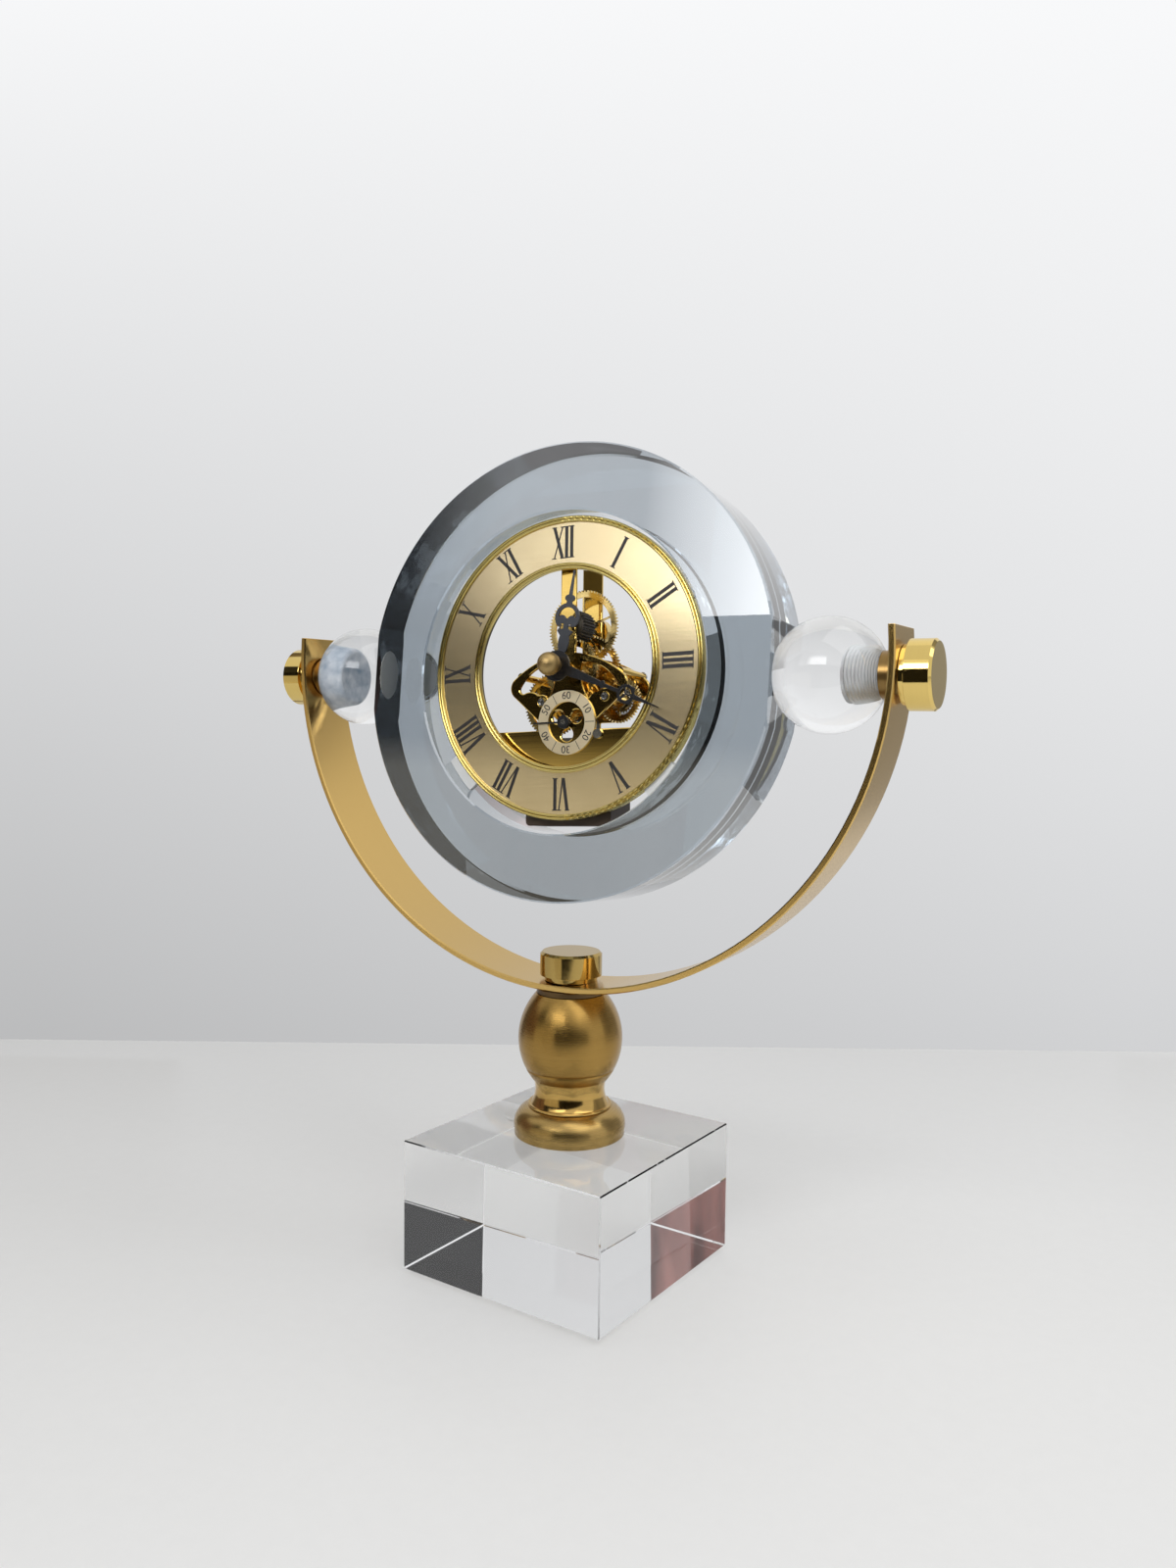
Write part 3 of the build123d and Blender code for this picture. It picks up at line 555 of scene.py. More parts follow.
class Piece:
    """Mesh in the making, in millimetres of its own frame."""

    MERGE: ClassVar[float] = 1e-4  # distance under which points of a new mesh are one
    SOLID_MERGE: ClassVar[float] = 2e-3  # the same for a solid's loose triangles
    CUT: ClassVar[float] = 1e-5  # distance under which a point lies on a cut
    LEVEL: ClassVar[float] = radians(0.5)  # angle under which two faces are one flat

    def __init__(self, name: str) -> None:
        """Start an empty mesh under a name."""
        self.name = name
        self.mesh = bmesh.new()

    def turned(self, profile: Sequence[Point], steps: int = 128, ring: bool = False) -> "Piece":
        """Spin a profile of radius and height about the z axis.

        Args:
            profile: Points in order; ends on the axis close the shape.
            steps: Steps in the full turn.
            ring: Whether the last point joins the first.

        Returns:
            This piece.
        """
        verts = [self.mesh.verts.new((radius, 0.0, height)) for radius, height in profile]
        ends = verts[1:] + verts[:1] if ring else verts[1:]
        edges = [self.mesh.edges.new(pair) for pair in zip(verts, ends)]
        bmesh.ops.spin(self.mesh, geom=verts + edges, axis=(0, 0, 1), cent=(0, 0, 0), dvec=(0, 0, 0),
                       angle=2 * pi, steps=steps, use_merge=True, use_duplicate=False)
        bmesh.ops.remove_doubles(self.mesh, verts=self.mesh.verts, dist=self.MERGE)
        bmesh.ops.recalc_face_normals(self.mesh, faces=self.mesh.faces)
        return self

    def flat(self, point: Point3, out: Point3) -> "Piece":
        """Cut a flat and close it, keeping the side that its direction points away from.

        Args:
            point: Point on the flat.
            out: Direction that the flat faces.

        Returns:
            This piece.
        """
        geom = self.mesh.verts[:] + self.mesh.edges[:] + self.mesh.faces[:]
        bmesh.ops.bisect_plane(self.mesh, geom=geom, dist=self.CUT, plane_co=point, plane_no=out,
                               clear_outer=True)
        rim = [edge for edge in self.mesh.edges if edge.is_boundary]
        bmesh.ops.holes_fill(self.mesh, edges=rim, sides=0)
        bmesh.ops.recalc_face_normals(self.mesh, faces=self.mesh.faces)
        return self

    def copied(self, node: str) -> "Piece":
        """Start from a merged copy of a solid, in millimetres of the model.

        Args:
            node: Name of the solid.

        Returns:
            This piece.
        """
        self.mesh.from_mesh(frame["nodes"][node].data)
        bmesh.ops.scale(self.mesh, vec=(1 / MM,) * 3, verts=self.mesh.verts)
        bmesh.ops.remove_doubles(self.mesh, verts=self.mesh.verts, dist=self.SOLID_MERGE)
        return self

    def softened(self, edge: float, angle: float = 50.0) -> "Piece":
        """Break the sharp edges of the mesh.

        Args:
            edge: Width of the broken edge.
            angle: Angle in degrees from which an edge is sharp.

        Returns:
            This piece.
        """
        bmesh.ops.dissolve_limit(self.mesh, angle_limit=self.LEVEL, verts=self.mesh.verts,
                                 edges=self.mesh.edges)
        sharp = [item for item in self.mesh.edges
                 if item.is_manifold and item.calc_face_angle(0.0) > radians(angle)]
        bmesh.ops.bevel(self.mesh, geom=sharp, offset=edge, offset_type="OFFSET", segments=2, profile=0.5,
                        affect="EDGES", material=-1, clamp_overlap=False)
        return self

    def lettered(self, text: str, size: float, thick: float) -> "Piece":
        """Set a short text in the middle of the frame.

        Args:
            text: The text.
            size: Size of the type.
            thick: Thickness of the print.

        Returns:
            This piece.
        """
        curve = bpy.data.curves.new(self.name, "FONT")
        curve.body, curve.size, curve.extrude = text, size, thick / 2
        curve.align_x = curve.align_y = "CENTER"
        holder = bpy.data.objects.new(self.name, curve)
        data = bpy.data.meshes.new_from_object(holder)
        self.mesh.from_mesh(data)
        bmesh.ops.remove_doubles(self.mesh, verts=self.mesh.verts, dist=self.MERGE)
        bpy.data.objects.remove(holder)
        bpy.data.curves.remove(curve)
        bpy.data.meshes.remove(data)
        return self

    def plate(self, corners: Iterable[Point], low: float, thick: float) -> "Piece":
        """Add a flat plate with straight sides.

        Args:
            corners: Its corners in order.
            low: Height of its underside.
            thick: Its thickness.

        Returns:
            This piece.
        """
        face = self.mesh.faces.new([self.mesh.verts.new((x, y, low)) for x, y in corners])
        grown = bmesh.ops.extrude_face_region(self.mesh, geom=[face])
        tops = [item for item in grown["geom"] if isinstance(item, bmesh.types.BMVert)]
        bmesh.ops.translate(self.mesh, verts=tops, vec=(0, 0, thick))
        return self

    def done(self, place: Matrix, body: Body, slot: str, finish: Finish, stands_for: Sequence[str] = (),
             crease: float = 35.0, shadow: bool = True) -> None:
        """Put the mesh in its place, link the object into the scene, hang it on its body and hide the solids
        that it stands for.

        Args:
            place: Matrix from the piece's millimetres to the model.
            body: Body that the piece rides on.
            slot: Slot of the record that its finish belongs to; not used.
            finish: Its look.
            stands_for: Solids that the piece stands for.
            crease: Angle in degrees from which an edge is sharp.
            shadow: Whether the piece throws a shadow.
        """
        bmesh.ops.recalc_face_normals(self.mesh, faces=self.mesh.faces)
        bmesh.ops.transform(self.mesh, matrix=place, verts=self.mesh.verts)
        for face in self.mesh.faces:
            face.smooth = True
        for edge in self.mesh.edges:
            edge.smooth = edge.is_manifold and edge.calc_face_angle(0.0) < radians(crease)
        data = bpy.data.meshes.new(self.name)
        self.mesh.to_mesh(data)
        self.mesh.free()
        made = bpy.data.objects.new(self.name, data)
        bpy.context.scene.collection.objects.link(made)
        data.materials.append(finish.material())
        made.visible_shadow = shadow
        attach(made, body.value)
        if stands_for:
            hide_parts(*stands_for)
        log.info("%s: %d faces on %s", self.name, len(data.polygons), body.value)


def dress(finish: Finish, *nodes: str) -> None:
    """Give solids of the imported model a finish.

    Args:
        finish: The look.
        nodes: Names of the solids.
    """
    for name in nodes:
        solid = frame["nodes"][name]
        if not solid.material_slots:
            solid.data.materials.append(finish.material())
        for holder in solid.material_slots:
            holder.material = finish.material()
        log.info("%s: %s", name, finish.name)


def recut(name: str, node: str, body: Body, slot: str, finish: Finish, edge: float = 0.0) -> None:
    """Put a smooth copy of a solid in its place, hiding the solid.

    Args:
        name: Name of the piece.
        node: Name of the solid.
        body: Body that it rides on.
        slot: Slot of the record that its finish belongs to.
        finish: Its look.
        edge: Width of its broken edges; 0 leaves them.
    """
    piece = Piece(name).copied(node)
    if edge:
        piece.softened(edge).done(MODEL, body, slot, finish, [node], crease=SOFT_CREASE)
    else:
        piece.done(MODEL, body, slot, finish, [node])


@dataclass(frozen=True)
class Finishes:
    """Every finish of the clock, by the piece that it was made for."""

    crystal: Finish
    smoked: Finish
    pad: Finish
    cement: Finish
    cloudy: Finish
    gasket: Finish
    antique: Finish
    bulb: Finish
    neck: Finish
    washer: Finish
    bow: Finish
    nut: Finish
    knob: Finish
    spacer: Finish
    stud: Finish
    dial: Finish
    bead: Finish
    subdial: Finish
    case: Finish
    plate: Finish
    wheel: Finish
    bright: Finish
    ink: Finish
    hour_paint: Finish
    hand_paint: Finish
    cap: Finish
    drum: Finish
    module: Finish
    bay: Finish
    wrap: Finish

    @classmethod
    def of_clock(cls, insert: Place, head: Place, bow_middle: Vector) -> "Finishes":
        """Set out the finishes about the clock's own axes.

        Args:
            insert: Frame of the clock insert.
            head: Frame of the leaning ring.
            bow_middle: Middle of the bow's circle.

        Returns:
            All finishes.
        """
        dial_axis = {"axis": tuple(insert.out), "origin": tuple(insert.origin)}
        across = {"axis": tuple(insert.right), "origin": tuple(insert.origin)}
        pivot = {"axis": (1.0, 0.0, 0.0), "origin": tuple(head.origin)}
        strip = {"axis": (0.0, 1.0, 0.0), "origin": tuple(bow_middle)}
        round_cut, straight = Grain.TURNED, Grain.STRAIGHT
        return cls(
            crystal=Glass("clear_crystal", (0.99, 0.995, 0.995), 0.0),
            smoked=Glass("smoked_glass", (0.98, 0.99, 0.99), 0.0, depth_colour=(0.163, 0.287, 0.397),
                         density=31.0, haze=0.05, shine=1.0, shine_index=1.85),
            pad=Coat("clear_pad_rubber", (0.75, 0.76, 0.76), 0.4, 0.5, (0.66, 0.67, 0.67), 0.05, 700.0),
            cement=Coat("clear_cement", (0.62, 0.61, 0.58), 0.4, 0.5, (0.5, 0.49, 0.46), 0.05, 500.0),
            cloudy=Coat("cloudy_cement", (0.9, 0.92, 0.94), 0.3, 1.25, (0.2, 0.28, 0.38), 0.3, 3200.0),
            gasket=Coat("black_gasket", (0.006, 0.006, 0.006), 0.6, 0.5, (0.015, 0.015, 0.015), 0.1, 900.0),
            antique=Metal("antique_turned_brass", (0.57, 0.385, 0.135), 0.26, round_cut, 5200.0, 0.22,
                          (0.17, 0.1, 0.03), 0.5, stretch=0.75),
            bulb=Metal("antique_bulb_brass", (0.47, 0.29, 0.08), 0.26, round_cut, 5200.0, 0.22,
                       (0.15, 0.08, 0.02), 0.5, stretch=0.7),
            neck=Metal("polished_neck_brass", (0.66, 0.43, 0.13), 0.15, round_cut, 4200.0, 0.1,
                       (0.2, 0.11, 0.035), 0.4),
            washer=Metal("dark_washer_brass", (0.2, 0.13, 0.06), 0.35, round_cut, 4000.0, 0.15,
                         (0.05, 0.03, 0.015), 0.6),
            bow=Metal("satin_bow_brass", (0.7, 0.47, 0.16), 0.21, round_cut, 300.0, 0.0,
                      (0.5, 0.32, 0.1), 0.05, spread=0.0, **strip),
            nut=Metal("polished_nut_brass", (0.5, 0.35, 0.11), 0.1, round_cut, 3800.0, 0.05,
                      (0.4, 0.25, 0.08), 0.25),
            knob=Metal("polished_knob_brass", (0.86, 0.64, 0.21), 0.08, round_cut, 3800.0, 0.06,
                       (0.45, 0.28, 0.09), 0.2, **pivot),
            spacer=Metal("dark_spacer_brass", (0.32, 0.2, 0.07), 0.3, round_cut, 3000.0, 0.1,
                         (0.1, 0.055, 0.02), 0.5, **pivot),
            stud=Metal("threaded_steel", (0.9, 0.92, 0.93), 0.5, round_cut, 2500.0, 0.2,
                       (0.55, 0.56, 0.57), 0.4, **pivot),
            dial=Metal("brushed_dial_gold", (0.86, 0.71, 0.42), 0.2, straight, 1500.0, 0.1,
                       (0.66, 0.51, 0.27), 0.55, bare=0.88, lacquer=1.0, **across),
            bead=Metal("polished_bead_gold", (0.68, 0.55, 0.2), 0.16, round_cut, 2500.0, 0.04,
                       (0.3, 0.24, 0.07), 0.3, **dial_axis),
            subdial=Metal("brushed_seconds_gold", (0.86, 0.75, 0.53), 0.38, straight, 5200.0, 0.12,
                          (0.66, 0.55, 0.35), 0.4, **across),
            case=Metal("dark_case_brass", (0.16, 0.14, 0.1), 0.45, round_cut, 2500.0, 0.08,
                       (0.06, 0.05, 0.03), 0.5, **dial_axis),
            plate=Metal("gilt_plate", (0.83, 0.58, 0.16), 0.1, straight, 2600.0, 0.04,
                        (0.45, 0.27, 0.07), 0.35, **across),
            wheel=Metal("gilt_wheel", (0.84, 0.64, 0.26), 0.18, round_cut, 3500.0, 0.08,
                        (0.4, 0.25, 0.07), 0.35, **dial_axis),
            bright=Metal("bright_steel", (0.72, 0.72, 0.71), 0.16, round_cut, 4000.0, 0.08,
                         (0.35, 0.34, 0.33), 0.3, **dial_axis),
            ink=Coat("printed_ink", (0.012, 0.01, 0.01), 0.5, 0.5, (0.03, 0.028, 0.028), 0.04, 1500.0),
            # black paint with a painted blue-grey sheen: lighter and bluer than the other hands' paint,
            # standing in for light mirrored from above
            hour_paint=Coat("hour_hand_paint", (0.028, 0.031, 0.038), 0.24, 0.5,
                            (0.05, 0.052, 0.058), 0.03, 1600.0),
            hand_paint=Coat("hand_paint", (0.008, 0.008, 0.009), 0.22, 0.5,
                            (0.02, 0.02, 0.021), 0.03, 1600.0),
            cap=Metal("aged_cap_brass", (0.5, 0.36, 0.16), 0.46, Grain.CAST, 9000.0, 0.3,
                      (0.22, 0.14, 0.05), 0.6),
            drum=Coat("moulded_drum", (0.03, 0.025, 0.018), 0.4, 0.5, (0.06, 0.05, 0.035), 0.08, 1400.0),
            module=Coat("moulded_module", (0.03, 0.028, 0.026), 0.45, 0.5,
                        (0.05, 0.046, 0.042), 0.12, 1500.0),
            bay=Coat("moulded_bay", (0.045, 0.028, 0.018), 0.42, 0.5, (0.08, 0.05, 0.03), 0.12, 1500.0),
            wrap=Coat("cell_sleeve", (0.12, 0.12, 0.13), 0.3, 0.4, (0.2, 0.19, 0.17), 0.03, 700.0),
        )


@dataclass
class CrystalBase:
    """Clear block under the pedestal.

    Attributes:
        side: Its width and depth.
        low: Height of its underside.
        high: Height of its top.
        turn: Turn about the vertical, degrees.
        edge: Width of its ground edges.
        film: Air between the block and what touches it.
    """

    side: float = 80.0
    low: float = 1.6
    high: float = 46.0
    turn: float = -5.75
    edge: float = 0.4
    film: float = 0.02

    def build(self, looks: Finishes) -> None:
        """Make the block, its ground edges and the pads' look.

        Args:
            looks: Finishes of the clock.
        """
        piece = Piece("crystal_block")
        tall = self.high - self.low - 2 * self.film
        bmesh.ops.create_cube(piece.mesh, size=1.0)
        bmesh.ops.scale(piece.mesh, vec=(self.side, self.side, tall), verts=piece.mesh.verts)
        bmesh.ops.translate(piece.mesh, vec=(0, 0, (self.low + self.high) / 2), verts=piece.mesh.verts)
        bmesh.ops.bevel(piece.mesh, geom=piece.mesh.edges[:], offset=self.edge, offset_type="OFFSET",
                        segments=1, profile=0.5, affect="EDGES", material=-1)
        place = MODEL @ Matrix.Rotation(radians(self.turn), 4, "Z")
        piece.done(place, Body.STAND, "crystal", looks.crystal, ["glass_base"], shadow=False)
        dress(looks.pad, "foot_pads")


@dataclass
class Pedestal:
    """Turned brass foot, neck and bulb, the washer under the bow and the rod through them.

    Attributes:
        bore: Radius of the hole for the tie rod.
        low: Height of the foot's underside.
        bell_r: Radius of the foot.
        bell_rise: Straight height of the foot.
        bell_mid: Radius and height of a point on the foot's curve.
        bell_end: Upper end of that curve.
        bell_parts: Steps of that curve.
        lip_r: Radius of the neck's lip.
        lip_top: Height of the lip's top.
        lip_in: How far the neck's curve starts inside the lip.
        waist: Narrowest point of the neck.
        neck_end: Upper end of the neck.
        neck_parts: Steps of the neck's curve.
        bulb_low: Lower end of the bulb.
        bulb_mid: Its widest point.
        bulb_high: Its upper end.
        bulb_parts: Steps of its curve.
        groove: Depth of the ring that is cut round the bulb.
        groove_at: Where that ring is, as a share of the curve.
        edge: Width of the broken edges.
        washer_r: Radius of the washer.
        washer_top: Height of the washer's top.
        steps: Steps of each full turn.
    """

    bore: float = 4.2
    low: float = 46.0
    bell_r: float = 18.9
    bell_rise: float = 1.6
    bell_mid: Point = (17.95, 53.2)
    bell_end: Point = (14.0, 55.8)
    bell_parts: int = 24
    lip_r: float = 14.3
    lip_top: float = 56.7
    lip_in: float = 0.9
    waist: Point = (11.9, 61.95)
    neck_end: Point = (12.8, 65.4)
    neck_parts: int = 20
    bulb_low: Point = (13.2, 65.4)
    bulb_mid: Point = (17.8, 80.1)
    bulb_high: Point = (11.8, 94.8)
    bulb_parts: int = 46
    groove: float = 0.4
    groove_at: float = 0.13
    edge: float = 0.25
    washer_r: float = 11.6
    washer_top: float = 96.7
    steps: int = 160

    def build(self, looks: Finishes) -> None:
        """Turn the pieces and dress them.

        Args:
            looks: Finishes of the clock.
        """
        for name, node, profile, finish in (
                ("turned_foot", "pedestal_foot", self._foot(), looks.antique),
                ("turned_neck", "pedestal_neck", self._neck(), looks.neck),
                ("turned_bulb", "pedestal_bulb", self._bulb(), looks.bulb),
                ("turned_washer", "seat_washer", self._washer(), looks.washer)):
            piece = Piece(name).turned(profile, self.steps, True)
            piece.done(MODEL, Body.STAND, "antique_brass", finish, [node])
        dress(looks.stud, "tie_rod")

    def _rim(self, radius: float, low: float, high: float) -> list[Point]:
        """Upright wall with both edges broken, from below."""
        inner = radius - self.edge
        return [(inner, low), (radius, low + self.edge), (radius, high - self.edge), (inner, high)]

    def _foot(self) -> list[Point]:
        """Outline of the bell-shaped foot.

        Returns:
            Radii and heights, from the bore and back to it.
        """
        curve = arc((self.bell_r, self.low + self.bell_rise), self.bell_mid, self.bell_end, self.bell_parts)
        edge = [(self.bell_r - self.edge, self.low), (self.bell_r, self.low + self.edge)]
        return [(self.bore, self.low)] + edge + curve + [(self.bore, self.bell_end[1])]

    def _neck(self) -> list[Point]:
        """Outline of the neck and its lip.

        Returns:
            Radii and heights, from the bore and back to it.
        """
        low = self.bell_end[1]
        curve = arc((self.lip_r - self.lip_in, self.lip_top), self.waist, self.neck_end, self.neck_parts)
        lip = self._rim(self.lip_r, low, self.lip_top)
        return [(self.bore, low)] + lip + curve + [(self.bore, self.neck_end[1])]

    def _bulb(self) -> list[Point]:
        """Outline of the bulb with its groove.

        Returns:
            Radii and heights, from the bore and back to it.
        """
        curve = arc(self.bulb_low, self.bulb_mid, self.bulb_high, self.bulb_parts)
        cut = round(self.groove_at * len(curve))
        curve[cut] = (curve[cut][0] - self.groove, curve[cut][1])
        return [(self.bore, self.bulb_low[1])] + curve + [(self.bore, self.bulb_high[1])]

    def _washer(self) -> list[Point]:
        """Outline of the washer."""
        low, high = self.bulb_high[1], self.washer_top
        return [(self.bore, low)] + self._rim(self.washer_r, low, high) + [(self.bore, high)]


@dataclass
class Bow:
    """Bent strip that carries the pivots, and the nut that clamps it to the pedestal.

    Attributes:
        edge: Width of the strip's broken edges.
        nut_edge: Width of the nut's broken edges.
    """

    edge: float = 0.16
    nut_edge: float = 0.12

    def build(self, looks: Finishes) -> None:
        """Round the strip and the nut over their solids."""
        recut("bent_strip", "bow", Body.STAND, "satin_brass", looks.bow, self.edge)
        recut("clamp_nut", "bow_nut", Body.STAND, "polished_brass", looks.nut, self.nut_edge)


@dataclass
class Pivots:
    """Crystal balls, threaded studs, spacers and knobs on both sides of the ring.

    Attributes:
        ball_x: Distance of a ball's middle from the clock's middle.
        ball_r: Radius of a ball.
        flat_x: Where a ball meets the ring.
        seat_x: Where a ball meets its spacer.
        film: Air between the glass and what touches it.
        stud_r: Radius of a stud.
        stud_x: Inner end of a stud.
        pitch: Step of the thread.
        crest: Height of the thread.
        turn_steps: Steps in each turn of the thread.
        thread_half: Half the thread's width, as a share of its step.
        thread_in: How far the thread's foot is sunk in the stud.
        thread_sharp: Angle in degrees from which the thread's edges are sharp.
        end_gap: Room left at an end of the thread or the cement.
        bond_r: Radius of the cement between a ball and the ring.
        bond_t: Thickness of the cement.
        bond_in: Depth of the cement under the ring's flat.
        sleeve_r: Radius of the cloudy cement round the left stud.
        sleeve_in: How far it stands over the stud's end.
        sleeve_curve: Shares of its radius, and rises, of three points on its rounded end.
        sleeve_parts: Steps of that end.
        knob_edge: Width of the broken edges of a knob and its spacer.
        ball_steps: Steps round a ball and from pole to pole.
        steps: Steps round the cement.
    """

    ball_x: float = 88.46
    ball_r: float = 17.87
    flat_x: float = 74.0
    seat_x: float = 104.814
    film: float = 0.02
    stud_r: float = 6.0
    stud_x: float = 92.814
    pitch: float = 1.0
    crest: float = 0.35
    turn_steps: int = 36
    thread_half: float = 0.46
    thread_in: float = 0.05
    thread_sharp: float = 60.0
    end_gap: float = 0.1
    bond_r: float = 8.6
    bond_t: float = 0.05
    bond_in: float = 0.1
    sleeve_r: float = 6.5
    sleeve_in: float = 0.6
    sleeve_curve: tuple[Point, Point, Point] = ((0.8, 0.0), (0.95, 0.3), (1.0, 1.0))
    sleeve_parts: int = 6
    knob_edge: float = 0.12
    ball_steps: tuple[int, int] = (128, 96)
    steps: int = 96

    def build(self, looks: Finishes, head: Place) -> None:
        """Make both sides.

        Args:
            looks: Finishes of the clock.
            head: Frame of the leaning ring.
        """
        for name, side in (("left", -1.0), ("right", 1.0)):
            self._ball(name, side, looks, head)
            recut(f"{name}_turned_stud", f"{name}_stud", Body.HEAD, "steel", looks.stud)
            self._bond(name, side, looks, head)
        self._thread("right", 1.0, looks, head)
        self._sleeve("left", -1.0, looks, head)
        for name in ("left", "right"):
            recut(f"{name}_turned_spacer", f"{name}_spacer", Body.HEAD, "antique_brass", looks.spacer,
                  self.knob_edge)
            recut(f"{name}_turned_knob", f"{name}_knob", Body.HEAD, "polished_brass", looks.knob,
                  self.knob_edge)

    def _outward(self, side: float, head: Place) -> Matrix:
        """Matrix of a pivot: z out along the pivot's line, from the clock's middle."""
        out = Vector((side, 0.0, 0.0))
        return Place(head.origin, UP.cross(out), UP, out).matrix()

    def _ball(self, name: str, side: float, looks: Finishes, head: Place) -> None:
        """Polished ball, ground flat where it is bonded and where it is clamped.

        Args:
            name: Name of the side.
            side: -1 for the left, 1 for the right.
            looks: Finishes of the clock.
            head: Frame of the leaning ring.
        """
        piece = Piece(f"{name}_crystal_ball")
        around, down = self.ball_steps
        bmesh.ops.create_uvsphere(piece.mesh, u_segments=around, v_segments=down, radius=self.ball_r)
        bmesh.ops.translate(piece.mesh, vec=(0, 0, self.ball_x), verts=piece.mesh.verts)
        piece.flat((0, 0, self.flat_x + self.film), (0, 0, -1))
        piece.flat((0, 0, self.seat_x - self.film), (0, 0, 1))
        piece.done(self._outward(side, head), Body.HEAD, "crystal", looks.crystal, [f"{name}_ball"],
                   shadow=False)

    def _bond(self, name: str, side: float, looks: Finishes, head: Place) -> None:
        """Thin disc of cement on the ring's flat, where the ball is bonded to it.

        Args:
            name: Name of the side.
            side: -1 for the left, 1 for the right.
            looks: Finishes of the clock.
            head: Frame of the leaning ring.
        """
        low = self.flat_x - self.bond_in - self.bond_t
        high = low + self.bond_t
        disc = [(0.0, low), (self.bond_r, low), (self.bond_r, high), (0.0, high)]
        piece = Piece(f"{name}_bond").turned(disc, self.steps)
        piece.done(self._outward(side, head), Body.HEAD, "clear_pad", looks.cement)

    def _sleeve(self, name: str, side: float, looks: Finishes, head: Place) -> None:
        """Cloudy cement round a stud and over its end, as it shows through the ball.

        Args:
            name: Name of the side.
            side: -1 for the left, 1 for the right.
            looks: Finishes of the clock.
            head: Frame of the leaning ring.
        """
        low, high = self.stud_x - self.sleeve_in, self.seat_x - self.end_gap
        curve = [(self.sleeve_r * share, low + rise) for share, rise in self.sleeve_curve]
        profile = [(0.0, low)] + arc(*curve, self.sleeve_parts) + [(self.sleeve_r, high), (0.0, high)]
        piece = Piece(f"{name}_stud_cement").turned(profile, self.steps)
        piece.done(self._outward(side, head), Body.HEAD, "clear_pad", looks.cloudy)

    def _thread(self, name: str, side: float, looks: Finishes, head: Place) -> None:
        """Thread of a stud, as it shows through the ball.

        Args:
            name: Name of the side.
            side: -1 for the left, 1 for the right.
            looks: Finishes of the clock.
            head: Frame of the leaning ring.
        """
        thread = Piece(f"{name}_stud_thread")
        half = self.pitch * self.thread_half
        reach = self.stud_r - self.thread_in
        start = self.stud_x + half + self.end_gap
        corners = [(reach, start - half), (self.stud_r + self.crest, start), (reach, start + half)]
        verts = [thread.mesh.verts.new((radius, 0.0, height)) for radius, height in corners]
        edges = [thread.mesh.edges.new(pair) for pair in zip(verts, verts[1:])]
        turns = int((self.seat_x - self.stud_x - self.pitch) / self.pitch)
        bmesh.ops.spin(thread.mesh, geom=verts + edges, axis=(0, 0, 1), cent=(0, 0, 0),
                       dvec=(0, 0, self.pitch / self.turn_steps), angle=2 * pi * turns,
                       steps=self.turn_steps * turns, use_merge=False, use_duplicate=False)
        thread.done(self._outward(side, head), Body.HEAD, "steel", looks.stud, crease=self.thread_sharp)


@dataclass
class CrystalRing:
    """Thick smoked ring with ground edges and two flats for the balls.

    Attributes:
        radius: Outer radius.
        bore: Radius of the bore.
        thick: Thickness.
        edge: Width of the ground edges.
        flat_x: Where the flats are.
        film: Air between the ring and what touches it.
        steps: Steps of the full turn.
        gasket_z: Back and front of the black gasket in the bore, over the ring's middle.
        gasket_t: Its thickness.
        gasket_in: How far it lies behind the bore's wall.
    """

    radius: float = 75.75
    bore: float = 53.3
    thick: float = 25.4
    edge: float = 0.6
    flat_x: float = 74.0
    film: float = 0.02
    steps: int = 720
    gasket_z: Point = (-12.0, -7.6)
    gasket_t: float = 0.1
    gasket_in: float = 0.05

    def build(self, looks: Finishes, head: Place) -> None:
        """Turn the ring, grind its flats and seal its bore.

        Args:
            looks: Finishes of the clock.
            head: Frame of the leaning ring.
        """
        half, edge = self.thick / 2, self.edge
        outline = [(self.bore, edge - half), (self.bore + edge, -half), (self.radius - edge, -half),
                   (self.radius, edge - half), (self.radius, half - edge), (self.radius - edge, half),
                   (self.bore + edge, half), (self.bore, half - edge)]
        piece = Piece("smoked_ring").turned(outline, self.steps, True)
        for side in (-1.0, 1.0):
            piece.flat((side * (self.flat_x - self.film), 0, 0), (side, 0, 0))
        piece.done(head.matrix(), Body.HEAD, "smoked_crystal", looks.smoked, ["crystal_ring"], shadow=False)
        self._gasket(looks, head)

    def _gasket(self, looks: Finishes, head: Place) -> None:
        """Thin black gasket at the back of the bore.

        Args:
            looks: Finishes of the clock.
            head: Frame of the leaning ring.
        """
        low, high = self.gasket_z
        inner = self.bore + self.gasket_in
        outer = inner + self.gasket_t
        profile = [(inner, low), (outer, low), (outer, high), (inner, high)]
        gasket = Piece("bore_gasket").turned(profile, self.steps, True)
        gasket.done(head.matrix(), Body.HEAD, "black_rubber", looks.gasket)


class Numeral(Enum):
    """Hours of the dial in Roman numerals."""

    XII = 0
    I = 1
    II = 2
    III = 3
    IV = 4
    V = 5
    VI = 6
    VII = 7
    VIII = 8
    IX = 9
    X = 10
    XI = 11


